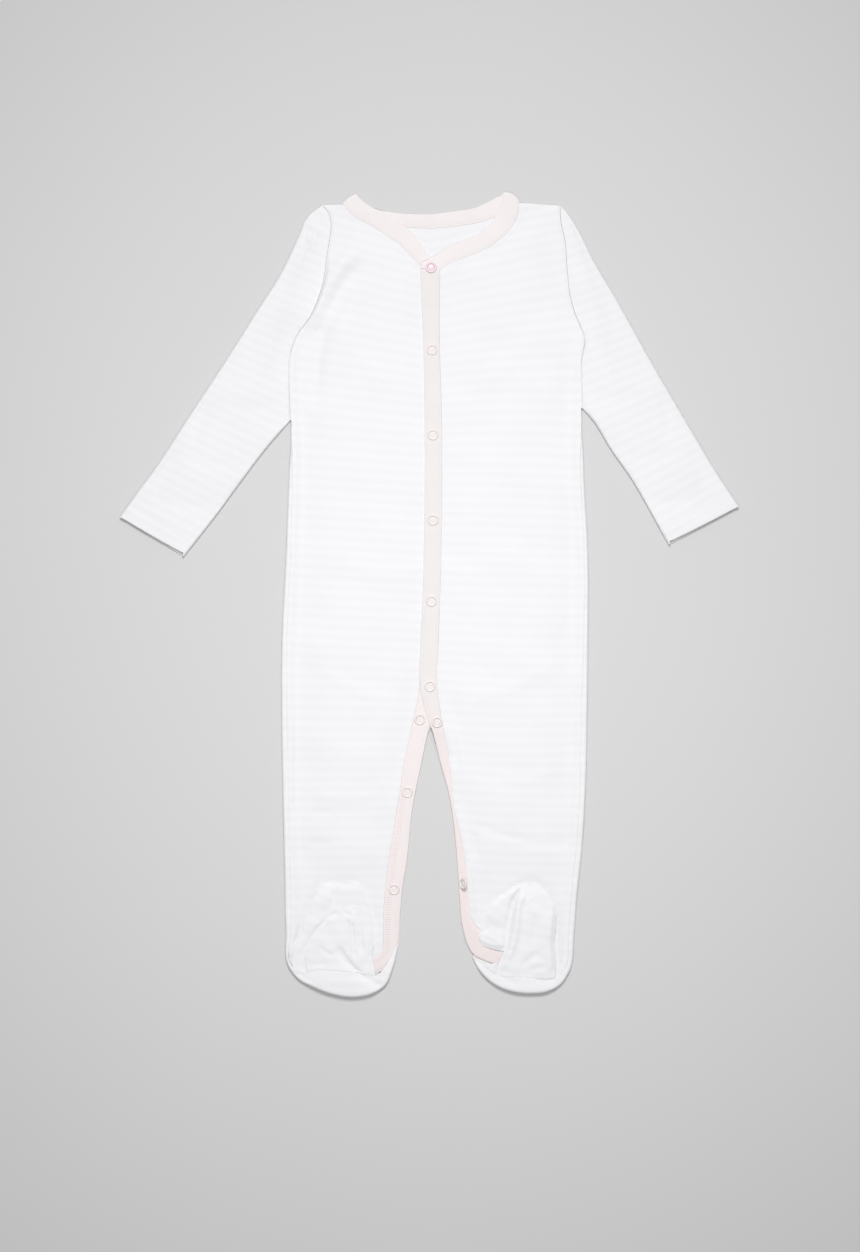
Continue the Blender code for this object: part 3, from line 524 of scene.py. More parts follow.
def along_columns(grid):
    """Length over the cloth from the first column to each column, by row."""
    steps = np.linalg.norm(np.diff(grid, axis=1), axis=-1)
    return np.concatenate([np.zeros((len(grid), 1)), np.cumsum(steps, axis=1)], axis=1)


def from_edges(plan):
    """Distances from a grid's first and last columns."""
    return (np.linalg.norm(plan - plan[:, :1], axis=-1), np.linalg.norm(plan - plan[:, -1:], axis=-1))


def pucker(along, distance, seed, height=0.14, length=7.5, reach=4.5):
    """Small gathers square to a seam."""
    random = np.random.default_rng(seed)
    phase = 2 * pi * along / length + 1.7 * np.sin(along / random.uniform(17, 23) + random.uniform(0, 6))
    return height * np.sin(phase) * bell(distance, reach)


# ---- meshes

def body_cut(grid):
    """Place on the flat cloth: across the wales, and along them from course to course."""
    x, y = grid[..., 0], grid[..., 1]
    climb = np.zeros(x.shape)
    for side, hand in HAND.items():
        climbs = np.array(COURSE_RISE[side])
        near, far = (np.interp(y, climbs[:, 0], climbs[:, k]) for k in (1, 2))
        out = np.clip(hand * (x - CENTRE_X), 0, None)
        bend = COURSE_BREAK * np.tanh(out / COURSE_BREAK)
        climb += near * bend + far * (out - bend)
    return np.stack([x, y - climb], -1)


def quads(rows, cols, closed=False):
    """Faces of a grid of points. A closed one goes on from its last column to its first."""
    index = np.arange(rows * cols).reshape(rows, cols)
    if closed:
        index = np.hstack([index, index[:, :1]])
    return np.stack([index[:-1, :-1], index[1:, :-1], index[1:, 1:], index[:-1, 1:]], -1).reshape(-1, 4)


def face_normals(points, faces):
    return np.cross(points[faces[:, 2]] - points[faces[:, 0]], points[faces[:, 3]] - points[faces[:, 1]])


def vertex_normals(points, faces):
    normals = np.zeros_like(points)
    across = face_normals(points, faces)
    for corner in range(4):
        np.add.at(normals, faces[:, corner], across)
    return normals / np.maximum(np.linalg.norm(normals, axis=1), 1e-12)[:, None]


def rim_edges(faces):
    """Directed edges that only one face has."""
    edges = np.concatenate([faces[:, [k, (k + 1) % 4]] for k in range(4)])
    edges = edges[edges[:, 0] != edges[:, 1]]
    size = edges.max() + 1
    code, back = edges[:, 0] * size + edges[:, 1], edges[:, 1] * size + edges[:, 0]
    return edges[~np.isin(code, back)]


def cloth(name, patches, wall, finishes, flip=False, choose=None, soft=FREE_RIM):
    """A shell round grids of middle-surface points. patches is [(points, cut places)], by row and column.
    wall is one thickness, or a grid of them for each patch. choose turns places on the cut into the
    number of their finish. soft is how much of the rim's height is rounded off."""
    points = np.concatenate([grid.reshape(-1, 3) for grid, _ in patches])
    cuts = np.concatenate([cut.reshape(-1, 2) for _, cut in patches])
    faces, start = [], 0
    for grid, _ in patches:
        faces.append(quads(*grid.shape[:2]) + start)
        start += grid.shape[0] * grid.shape[1]
    corners = np.concatenate(faces)
    if flip:
        corners = corners[:, ::-1]
    _, first, welded = np.unique(np.round(points, 4), axis=0, return_index=True, return_inverse=True)
    welded = welded.reshape(-1)
    points = points[first]
    faces = welded[corners]
    keep = np.linalg.norm(face_normals(points, faces), axis=1) > 1e-7
    faces, corners = faces[keep], corners[keep]
    normals = vertex_normals(points, faces)
    if np.isscalar(wall):
        wall = [np.full(len(cuts), wall)]
    half = np.concatenate([np.ravel(one) for one in wall])[first, None] / 2
    rim = rim_edges(faces)
    along = unit(points[rim[:, 1]] - points[rim[:, 0]])
    outward = np.zeros_like(points)
    for end in (0, 1):
        np.add.at(outward, rim[:, end], np.cross(along, normals[rim[:, end]]))
    on_rim = np.unique(rim)
    outward[on_rim] /= np.maximum(np.linalg.norm(outward[on_rim], axis=1), 1e-9)[:, None]
    corner = half * soft
    middle = points - corner * outward
    count = len(points)
    layers = [middle + half * normals, middle - half * normals]
    # Rings of the rim: the face that each is next to, and its angle
    turns = ((1, 45), (1, 0), (-1, 0), (-1, -45))
    place = np.zeros(count, int)
    place[on_rim] = np.arange(len(on_rim))
    for face, angle in turns:
        bend = corner * (outward * cos(radians(angle)) + normals * sin(radians(angle)))
        layers.append((middle + face * (half - corner) * normals + bend)[on_rim])
    vertices = np.concatenate(layers)
    bands = [rim] + [2 * count + k * len(on_rim) + place[rim] for k in range(len(turns))] + [rim + count]
    sides = [np.column_stack([a[:, 1], a[:, 0], b[:, 0], b[:, 1]]) for a, b in zip(bands, bands[1:])]
    every = np.concatenate([faces, faces[:, ::-1] + count, *sides])
    cut_of = np.zeros((count, 2))
    cut_of[faces.reshape(-1)] = cuts[corners.reshape(-1)]
    rim_cut = cut_of[rim]
    side_cuts = [np.stack([rim_cut[:, 1], rim_cut[:, 0], rim_cut[:, 0], rim_cut[:, 1]], 1)] * len(sides)
    every_cut = np.concatenate([cuts[corners], cuts[corners[:, ::-1]], *side_cuts])
    finish_of = choose(every_cut.mean(axis=1)).astype(int) if choose else None
    return mesh_object(name, vertices, every, every_cut, finishes, finish_of)


def mesh_object(name, vertices, faces, cuts, finishes, finish_of=None):
    """A mesh from points in mm. A quad with a doubled corner becomes a triangle."""
    tidy, at, kept = [], [], []
    doubled = (faces == np.roll(faces, -1, axis=1)).any(1)
    for k, face in enumerate(faces.tolist()):
        if doubled[k]:
            used = [c for c in range(4) if face[c] != face[(c + 1) % 4]]
            if len(used) < 3:
                continue
            tidy.append([face[c] for c in used])
            kept.append(k)
            at += [4 * k + c for c in used]
        else:
            tidy.append(face)
            kept.append(k)
            at += range(4 * k, 4 * k + 4)
    mesh = bpy.data.meshes.new(name)
    mesh.from_pydata((vertices * MM).tolist(), [], tidy)
    if cuts is not None:
        layer = mesh.uv_layers.new(name="cut")
        layer.uv.foreach_set("vector", (cuts.reshape(-1, 2)[at] * MM).astype(np.float32).ravel())
    for finish in finishes:
        mesh.materials.append(finish)
    if finish_of is not None:
        mesh.polygons.foreach_set("material_index", np.asarray(finish_of)[kept])
    mesh.shade_smooth()
    mesh.update()
    piece = bpy.data.objects.new(name, mesh)
    bpy.context.scene.collection.objects.link(piece)
    return piece


def hand_in(piece, slot, *nodes):
    """The piece moves with the garment and stands for its CAD nodes, which it hides. The slot is not used."""
    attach(piece, "root")
    if nodes:
        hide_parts(*nodes)
    return piece


def threads(name, starts, ends, radius, finish):
    """Short stitches from point to point, their ends sunk into the cloth."""
    along = ends - starts
    aside = unit(np.cross(along, (0, 0, 1.0)))
    up = unit(np.cross(aside, along))
    # Along a stitch: its share, and its thickness and height in radii
    sections = [(0.0, 0.45, -0.9), (0.2, 0.9, -0.1), (0.5, 1.0, 0.15), (0.8, 0.9, -0.1), (1.0, 0.45, -0.9)]
    sides = 6
    rings = []
    for share, width, sink in sections:
        centre = starts + along * share + up * sink * radius
        for turn in np.arange(sides) * 2 * pi / sides:
            rings.append(centre + radius * width * (aside * cos(turn) + up * sin(turn)))
    vertices = np.stack(rings, 1)
    first = np.array([[5, 4, 3, 2], [5, 2, 1, 0]])
    last = np.array([[0, 1, 2, 3], [0, 3, 4, 5]]) + (len(sections) - 1) * sides
    one = np.concatenate([quads(len(sections), sides, closed=True), first, last])
    faces = (one[None] + np.arange(len(starts))[:, None, None] * vertices.shape[1]).reshape(-1, 4)
    return mesh_object(name, vertices.reshape(-1, 3), faces, None, [finish])


def topstitching(name, lines, pitch):
    """Rows of stitches along lines of points."""
    starts, ends = [], []
    for line in lines:
        reach = reach_along(line)
        at = np.arange(pitch, reach[-1] - pitch, pitch)
        for places, where in ((starts, at), (ends, at + STITCH_SHARE * pitch)):
            places.append(np.column_stack([np.interp(where, reach, column) for column in line.T]))
    return threads(name, np.concatenate(starts), np.concatenate(ends), THREAD_RADIUS, thread_finish())


def ladder_stitches(name, inner, outer, finish):
    """Threads that cross from one line of points to the other, evenly spaced."""
    count = len(np.arange(LADDER_PITCH, reach_along(inner)[-1] - LADDER_PITCH, LADDER_PITCH))
    share = np.linspace(0, 1, count)
    ends = [np.column_stack([np.interp(share, np.linspace(0, 1, len(line)), column) for column in line.T])
            for line in (inner, outer)]
    return threads(name, *ends, LOOPER_RADIUS, finish)


# ---- materials

def set_inputs(tree, made, inputs):
    """An input is a socket to link from, or a value."""
    for key, value in inputs.items():
        if isinstance(value, bpy.types.NodeSocket):
            tree.links.new(value, made.inputs[key])
        else:
            made.inputs[key].default_value = value


def node(tree, kind, inputs=None, **settings):
    """Adds a node."""
    made = tree.nodes.new(kind)
    for key, value in settings.items():
        setattr(made, key, value)
    set_inputs(tree, made, inputs or {})
    return made


def new_material(name):
    """A new material, with its node tree, its shader and places on the piece."""
    made = bpy.data.materials.new(name)
    made.use_nodes = True
    tree = made.node_tree
    return made, tree, tree.nodes["Principled BSDF"], node(tree, "ShaderNodeTexCoord").outputs["Object"]


def tint(tree, shader, tone, pattern, darkest, low=0.3, high=0.7):
    """The shader's colour is the tone, a little darker where the pattern is low."""
    shade = node(tree, "ShaderNodeMapRange", {0: pattern, 1: low, 2: high, 3: darkest, 4: 1.0})
    colour = node(tree, "ShaderNodeMix", {0: 1.0, 6: tone, 7: shade.outputs[0]},
                  data_type="RGBA", blend_type="MULTIPLY")
    set_inputs(tree, shader, {"Base Color": colour.outputs[2]})


def knit_surface(tree, shader, cloud, loops, marks, rough):
    """Loops in the bump over soft handling marks, a roughness that goes with the clouds of the dye, and a
    bloom of fibres. loops is (height, strength, depth in mm), marks is (place, scale, depth in mm)."""
    fine = node(tree, "ShaderNodeBump", {"Strength": loops[1], "Distance": loops[2] * MM, "Height": loops[0]})
    soft = node(tree, "ShaderNodeTexNoise", {"Vector": marks[0], "Scale": marks[1], "Detail": 2.0})
    bump = node(tree, "ShaderNodeBump", {"Strength": 0.5, "Distance": marks[2] * MM,
                                         "Height": soft.outputs[0], "Normal": fine.outputs[0]})
    roughness = node(tree, "ShaderNodeMapRange", {0: cloud, 3: rough[0], 4: rough[1]})
    set_inputs(tree, shader, {"Normal": bump.outputs[0], "Roughness": roughness.outputs[0], "IOR": 1.5,
                              "Specular IOR Level": 0.2, "Sheen Weight": 0.25, "Sheen Roughness": 0.5})


def loop_height(tree, cut, wale, course):
    """Height of knitted loops: V-shaped stitches in columns, each column a low rib."""
    axes = node(tree, "ShaderNodeSeparateXYZ", {0: cut})
    column = node(tree, "ShaderNodeMath", {0: axes.outputs["X"], 1: 1 / wale}, operation="MULTIPLY")
    row = node(tree, "ShaderNodeMath", {0: axes.outputs["Y"], 1: 1 / course}, operation="MULTIPLY")
    side = node(tree, "ShaderNodeMath", {0: column.outputs[0], 1: 0.5}, operation="PINGPONG")
    slant = node(tree, "ShaderNodeMath", {0: side.outputs[0], 1: 1.1, 2: row.outputs[0]},
                 operation="MULTIPLY_ADD")
    turn = node(tree, "ShaderNodeMath", {0: slant.outputs[0], 1: 2 * pi}, operation="MULTIPLY")
    loop = node(tree, "ShaderNodeMath", {0: turn.outputs[0]}, operation="SINE")
    rib = node(tree, "ShaderNodeMath", {0: side.outputs[0], 1: 4.0}, operation="MULTIPLY")
    return node(tree, "ShaderNodeMath", {0: loop.outputs[0], 1: 0.45, 2: rib.outputs[0]},
                operation="MULTIPLY_ADD").outputs[0]


def interlock_cotton(name, knit):
    """Interlock cotton, knitted from dyed yarn in two pale tones: matt, soft, with a short bloom of fibres
    that lightens the slopes, and loops just fine enough to blur."""
    made, tree, shader, place = new_material(name)
    cut = node(tree, "ShaderNodeUVMap", uv_map="cut").outputs["UV"]
    axes = node(tree, "ShaderNodeSeparateXYZ", {0: cut})
    turn = node(tree, "ShaderNodeMath", {0: axes.outputs["Y"], 1: 2 * pi / (knit.repeat * MM)},
                operation="MULTIPLY")
    wave = node(tree, "ShaderNodeMath", {0: turn.outputs[0]}, operation="SINE")
    band = node(tree, "ShaderNodeMapRange", {0: wave.outputs[0], 1: -0.45, 2: 0.45},
                interpolation_type="SMOOTHSTEP")
    stripes = node(tree, "ShaderNodeMix", {0: band.outputs[0], 6: (*knit.ground, 1), 7: (*knit.stripe, 1)},
                   data_type="RGBA")
    # Uneven yarn, in clouds of about 30 mm
    cloud = node(tree, "ShaderNodeTexNoise", {"Vector": place, "Scale": 33.0, "Detail": 3.0}).outputs[0]
    tint(tree, shader, stripes.outputs[2], cloud, 0.985)
    # Loops are about 0.8 mm apart in the real knit, and are drawn 1.2 mm apart to show
    loops = loop_height(tree, cut, 1.2 * MM, 1.0 * MM)
    # The handling marks are about 8 mm across
    knit_surface(tree, shader, cloud, (loops, 0.35, 0.06), (place, 120.0, 0.25), (0.88, 0.96))
    return made


def binding_knit(name, tone, leg=None, change=(0.0, 1.0)):
    """Cotton jersey binding, cut on the straight and folded over the edge: the same bloom as the body,
    with fine ribs across the strip. Its colour turns to the leg's tone between two lengths, in metres: on the
    over binding that pinker tone is painted shade where the strip curls under along the leg."""
    made, tree, shader, place = new_material(name)
    cut = node(tree, "ShaderNodeUVMap", uv_map="cut").outputs["UV"]
    dye = (*tone, 1)
    # On the over binding the turn to the leg's tone is painted shade where the strip curls under
    if leg is not None:
        axes = node(tree, "ShaderNodeSeparateXYZ", {0: cut})
        share = node(tree, "ShaderNodeMapRange", {0: axes.outputs["Y"], 1: change[0], 2: change[1]})
        dye = node(tree, "ShaderNodeMix", {0: share.outputs[0], 6: (*tone, 1), 7: (*leg, 1)},
                   data_type="RGBA").outputs[2]
    # Uneven dye, in clouds of about 20 mm
    cloud = node(tree, "ShaderNodeTexNoise", {"Vector": place, "Scale": 45.0, "Detail": 3.0}).outputs[0]
    tint(tree, shader, dye, cloud, 0.975)
    # Ribs are about 1 mm apart in the real knit, and are drawn 1.5 mm apart to show
    ribs = loop_height(tree, cut, 1.1 * MM, 1.5 * MM)
    knit_surface(tree, shader, cloud, (ribs, 0.5, 0.09), (place, 160.0, 0.2), (0.86, 0.95))
    return made


def spun_thread(name, tone):
    """Spun polyester sewing thread: two twisted plies, with a faint lustre."""
    made, tree, shader, place = new_material(name)
    # Plies turn about every 0.6 mm
    twist = node(tree, "ShaderNodeTexWave", {"Vector": place, "Scale": 260.0, "Distortion": 1.0},
                 bands_direction="DIAGONAL")
    tint(tree, shader, (*tone, 1), twist.outputs["Fac"], 0.94, 0.0, 1.0)
    bump = node(tree, "ShaderNodeBump", {"Strength": 0.3, "Distance": 0.04 * MM,
                                         "Height": twist.outputs["Fac"]})
    set_inputs(tree, shader, {"Normal": bump.outputs[0], "Roughness": 0.6, "IOR": 1.5,
                              "Specular IOR Level": 0.4})
    return made


def baked_enamel(name, tone):
    """Brass ring with baked enamel: smooth and satin."""
    made, tree, shader, place = new_material(name)
    # Orange peel of the sprayed coat, about 0.7 mm
    peel = node(tree, "ShaderNodeTexNoise", {"Vector": place, "Scale": 1400.0, "Detail": 2.0})
    tint(tree, shader, (*tone, 1), peel.outputs[0], 0.94)
    rough = node(tree, "ShaderNodeMapRange", {0: peel.outputs[0], 3: 0.3, 4: 0.45})
    bump = node(tree, "ShaderNodeBump", {"Strength": 0.2, "Distance": 0.02 * MM, "Height": peel.outputs[0]})
    set_inputs(tree, shader, {"Normal": bump.outputs[0], "Roughness": rough.outputs[0], "IOR": 1.52,
                              "Coat Weight": 0.3, "Coat Roughness": 0.2})
    return made


def paper_sweep(tone):
    """Matt paper backdrop: even, with the faint cloud of its pulp."""
    made, tree, shader, place = new_material("paper_sweep")
    pulp = node(tree, "ShaderNodeTexNoise", {"Vector": place, "Scale": 3.0, "Detail": 4.0})
    tint(tree, shader, (*tone, 1), pulp.outputs[0], 0.99)
    set_inputs(tree, shader, {"Roughness": 0.95, "Specular IOR Level": 0.1})
    return made


# ---- settings

COLOUR = {"subtype": "COLOR", "min": 0, "max": 1}


class KnitSettings(PropertyGroup):
    """Cloth of the body, sleeves and feet."""
    ground: FloatVectorProperty(name="Ground", description="Lighter stripe",
                                default=linear("#f0f0f2"), **COLOUR)
    stripe: FloatVectorProperty(name="Stripe", description="Darker stripe",
                                default=linear("#eeeef0"), **COLOUR)
    repeat: FloatProperty(name="Stripe repeat", description="From one stripe to the next, in mm",
                          min=2, max=40, default=8.4)


class BindingSettings(PropertyGroup):
    """Bindings and their stitching."""
    neck: FloatVectorProperty(name="Neck binding", description="Binding round the neck",
                              default=linear("#f2eced"), **COLOUR)
    chest: FloatVectorProperty(name="Front binding", description="Binding down the front",
                               default=linear("#ece8e7"), **COLOUR)
    under: FloatVectorProperty(name="Under binding", description="Binding of the right front and its leg",
                               default=linear("#f2eaea"), **COLOUR)
    # The over binding also turns to this tone along the left leg, where it stands for the shade of its curl:
    # painted shade there
    leg: FloatVectorProperty(name="Leg binding", description="Binding of the back along the inner legs",
                             default=linear("#f2e7e7"), **COLOUR)
    # A touch deeper than the neck binding, for its back part that lies low inside the neck: painted shade
    inside: FloatVectorProperty(name="Inner binding", description="Wrong side of the neck binding",
                                default=linear("#f2ecec"), **COLOUR)
    pitch: FloatProperty(name="Stitch pitch", description="From one stitch to the next, in mm",
                         min=1.5, max=6, default=3.0)


class SnapSettings(PropertyGroup):
    """Ring snaps."""
    enamel: FloatVectorProperty(name="Enamel", description="Colour of the rings",
                                default=linear("#f0e6e6"), **COLOUR)
    top: FloatVectorProperty(name="Top snap", description="Colour of the ring at the neck",
                             default=linear("#f3dbe3"), **COLOUR)
    radius: FloatProperty(name="Ring radius", description="To the middle of the ring's wall, in mm",
                          min=2, max=8, default=4.0)


class StageSettings(PropertyGroup):
    """Backdrop, light and camera."""
    paper: FloatVectorProperty(name="Backdrop", description="Paper that the garment lies on",
                               default=linear("#d5d5d5"), **COLOUR)
    key: FloatProperty(name="Key light", description="Large soft light beyond the neck", subtype="POWER",
                       min=0, max=500, default=5.64)
    overhead: FloatProperty(name="Overhead light", description="Large soft light above the garment",
                            subtype="POWER", min=0, max=500, default=1.19)
    fill: FloatProperty(name="Fill", description="Strength of the even light from all round",
                        min=0, max=5, default=0.406)
    height: FloatProperty(name="Camera height", description="Camera above the floor", subtype="DISTANCE",
                          unit="LENGTH", min=0.5, max=10, default=2.2)


# ---- body

def outline_stations(side):
    """The folded outline with its insets, split at the crotch and where the heel begins."""
    crotch, heel = SIDE_KNOTS[side]
    steps = ((1, FINE), (crotch, (TRUNK_STEPS - 1) * FINE), (heel, LEG_STEPS * FINE),
             (-1, HEEL_STEPS * FINE))
    return stations(OUTLINE[side], *steps)


def armhole_stations(side, steps=ARM_STEPS * FINE):
    return stations(ARMHOLE[side], (-1, steps))


def neck_stations(side):
    return stations(NECK_SEAM[side], (-1, NECK_STEPS * FINE))


def back_neck_line(side, distance):
    """Beside the seam at the back of the neck, from the shoulder to the centre."""
    line = beside(stations(BACK_NECK_SEAM[side], (-1, BACK_NECK_STEPS * FINE)), side, distance)
    line[-1] = (CENTRE_X, BACK_NECK_SEAM[side][-1].y + distance)
    return line


def front_seam_stations(side):
    underarm, crotch, ankle = FRONT_SEAM_KNOTS
    steps = ((underarm, (ARM_STEPS - NECK_STEPS) * FINE), (crotch, TRUNK_STEPS * FINE),
             (ankle, LEG_STEPS * FINE))
    return stations(FRONT_SEAM[side], *steps)


def front_edge_stations(side):
    """Free edge of a front binding, at the heights of its seam's stations."""
    seam = front_seam_stations(side)
    fine = stations(FRONT_EDGE[side], (-1, READ_OFF))
    heights = np.clip(seam[:, 1], fine[-1, 1], fine[0, 1])
    return np.column_stack([np.interp(-heights, -fine[:, 1], fine[:, 0]), heights])


def over_lift(rows, first=0):
    """The left front's lifts for its rows, from the row at the given step, in mm."""
    chest = ARM_STEPS - NECK_STEPS + 1 + TRUNK_STEPS
    lifts = [*NECK_LIFTS, *[1] * chest, CROTCH_LIFT, *[0] * (LEG_STEPS - 1)]
    steps = np.arange(len(lifts))
    return PLY * np.interp(first + np.arange(rows) / FINE, steps, lifts)


def spread_columns(width, gap):
    """Distances across rows of the given widths: close together near both edges, then about even."""
    near = np.array(EDGE_STEPS)
    count = max(int((np.median(width) - 2 * near[-1]) / gap), 8)
    shares = np.linspace(0, 1, count + 1)[1:-1]
    inner = near[-1] + (width[:, None] - 2 * near[-1]) * shares
    ones = np.ones((len(width), 1))
    return np.hstack([ones * near, inner, width[:, None] - near[::-1]])


def front_patch(side):
    """Front with its leg, from the shoulder into the foot. Distances are in mm from its own edges."""
    arm, outline = armhole_stations(side), outline_stations(side)
    laps = by_step([0, LAP_FROM, LAP_FROM + 1, ARM_STEPS - 1, ARM_STEPS],
                   [ARM_GAP, ARM_GAP, -LAP, -LAP, -0.3 * LAP], len(arm))
    eased = by_step([0, EASED, EASED + 1, LAST], [SEAM / 2, SEAM / 2, 0, 0], len(outline))
    side_edge = beside(outline, side, outline[:, 2] + SEAM / 2 + eased)
    outer = np.vstack([beside(arm, side, laps), side_edge[1:OUTLINE_HEEL + 1]])
    seam = np.vstack([neck_stations(side)[:-1], front_seam_stations(side)])
    lap = np.zeros(len(seam))
    if side == "left":
        lap = np.interp(seam[:, 1], *np.transpose(LEG_LAP))
    inner = beside(seam, side, lap - SEAM / 2)
    rows = len(outer)
    edge_rise = by_step([0, LAP_FROM - 1, LAP_FROM, LAST],
                        [0, 0, ROLL_TOP - FRONT_Z, ROLL_TOP - FRONT_Z], rows)
    seam_rise = over_lift(rows) if side == "left" else np.zeros(rows)
    width = np.linalg.norm(inner - outer, axis=1)
    scale = np.minimum(1.0, width / (1.25 * (ROLL_REACH + OVER_REACH)))[:, None]
    out = spread_columns(width, FRONT_GAP)
    within = width[:, None] - out
    plan = mix(outer, inner, out / width[:, None])
    x, y = plan[..., 0], plan[..., 1]
    top = along_rows(plan)
    z = FRONT_Z + edge_rise[:, None] * fall(out / (ROLL_REACH * scale)) * sunk(side, y)
    z += seam_rise[:, None] * fall((within - OVER_LEVEL) / (OVER_REACH * scale - OVER_LEVEL))
    z += air(y) * rise((out - 8) / 26) * rise(within / 24) * rise(top / 26)
    z += floor_lift(x, y) + upper_lift(x, y) * rise(out / 5) * rise(within / 6) * rise((top + 2) / 10)
    armhole = 1 - rise((np.arange(rows) - LAP_FROM * FINE) / FINE)[:, None]
    z -= SEAM_DIP * (fall(out / SEAM_REACH) + fall(within / SEAM_REACH))
    z -= ARMHOLE_DIP * armhole * fall(out / ARMHOLE_REACH)
    z += SEAM_RIDGE * (bell(out - 3.2, 1.3) + bell(within - 3.0, 1.2)) * rise(top / 12)
    z += (pucker(top[:, -1:], within, seed=21) * rise(within / 2)
          + pucker(top[:, :1], out, seed=22) * rise(out / 2))
    z -= 0.55 * fall(top / 3.0)
    z += LAP_RISE * np.clip(lap, 0, 1)[:, None] * fall((within - 3) / 5)
    z = np.maximum(z, BACK_Z + CLOTH_WALL + LAYER_GAP + floor_lift(x, y))
    grid = np.stack([x, y, z], -1)
    grid = np.concatenate([grid, foot_part(side, grid[-1], out[-1] / width[-1])])
    return grid[:, ::-1] if side == "left" else grid


def sunk(side, y):
    """Beside the right heel the front's edge goes down under the foot: 1 where it still lies on the fold."""
    return fall((SINK_Y - y) / SINK_REACH) if side == "right" else np.ones(np.shape(y))


def front_level(side, x, y):
    """The most that the middle of the front's wall reaches, under the foot."""
    outline = outline_stations(side)[(TRUNK_STEPS + 2) * FINE:OUTLINE_HEEL]
    hand = HAND[side]
    seam_x = np.interp(-y, -outline[:, 1], outline[:, 0] - hand * outline[:, 2])
    roll = (ROLL_TOP - FRONT_Z) * fall(hand * (seam_x - x) / ROLL_REACH) * sunk(side, y)
    return FRONT_Z + air(y) + roll + floor_lift(x, y) + upper_lift(x, y)


def foot_part(side, ankle, shares):
    """The front goes on into the foot from its ankle row, down to its seam under the heel."""
    outline = outline_stations(side)
    inset = outline[:, 2] + SEAM / 2
    knots, (begin, end) = FOOT_PART[side]
    steps = parts_of_one(FOOT_PART_ROWS)
    heel_at = OUTLINE_HEEL + FINE * (begin + (end - begin) * shares)
    seam = read_rows(beside(outline, side, inset - TUCK), heel_at)
    inner = stations([ankle[-1, :2], *knots, seam[-1]], (-1, FOOT_PART_ROWS))[1:]
    outer_at = OUTLINE_HEEL + FINE * begin * steps
    outer_inset = np.interp(outer_at, np.arange(len(outline)), inset) - TUCK * rise((steps - 0.85) / 0.15)
    turned = read_rows(to_centre(outline, side), outer_at)
    outer = read_rows(outline[:, :2], outer_at) + outer_inset[:, None] * turned
    plan = ankle[None, :, :2] * (1 - steps)[:, None, None] + seam[None] * steps[:, None, None]
    plan += ((inner - plan[:, -1])[:, None] * shares[None, :, None] ** 3)
    plan += ((outer - plan[:, 0])[:, None] * (1 - shares[None, :, None]) ** 8)
    z = FRONT_Z + (ankle[:, 2] - FRONT_Z)[None] * fall((steps - 0.75) / 0.25)[:, None]
    return np.dstack([plan, z])


def heel_seam(side):
    """Seam of the heel to the sole, by row."""
    outline = outline_stations(side)
    first, last = (OUTLINE_HEEL + step * FINE for step in SOLE_HEEL)
    return beside(outline, side, outline[:, 2] + SEAM / 2)[first:last + 1]


def heel_swell(from_outer, from_inner):
    """Rise of the heel and of the sole along the seam between them, by the distance from its two ends."""
    return rise(from_outer / 13) * rise(from_inner / 13)


def heel_radius(rows):
    """The fold grows at the heel until its top meets the sole's layer."""
    steps = (np.arange(rows) - OUTLINE_HEEL) / FINE
    full = ROLL_RADIUS + (SOLE_Z - ROLL_TOP) / 2 * np.clip(steps, 0, 2) / 2
    return full - (full - HEEL_END_RADIUS) * rise((steps - HEEL_STEPS + 1.6) / 1.6)


def rolled(radius, turn, count):
    """An edge that rolls over through an angle, along an arc of one length: how far out the arc reaches,
    and how far in from there and how high its points are, from the edge to the flat cloth."""
    wide = radius * pi / turn
    angles = np.linspace(turn, 0, count)
    return wide * sin(min(turn, pi / 2)), wide * np.sin(angles), wide * (1 - np.cos(angles))


def side_section(degrees, radius, inset):
    """(distance inside the outline, height) of the back's edge, from the front seam to the floor."""
    turn = radians(max(degrees, 1.0))
    hem = ROLL_HEM
    if degrees > 90:
        reach = inset - SEAM / 2 - FOLD_INSET - radius
        hem += (reach - ROLL_HEM) * (degrees - 90) / 90
    most, inwards, rises = rolled(radius, turn, ARC_STEPS + 1)
    most += hem * max(cos(turn), 0)
    distance = np.interp(degrees, [0, 90], [SEAM / 2, FOLD_INSET]) + most - inwards
    height = BACK_Z + rises
    away = np.linspace(1, 0, HEM_STEPS + 1)[:-1] * hem
    distance = np.concatenate([distance[0] - away * cos(turn), distance])
    height = np.concatenate([height[0] + away * sin(turn), height])
    lean = (inset - SEAM / 2 - distance[0]) * min(degrees / 90, 1)
    distance += lean * (height - BACK_Z) / (height[0] - BACK_Z)
    return np.column_stack([distance, height])


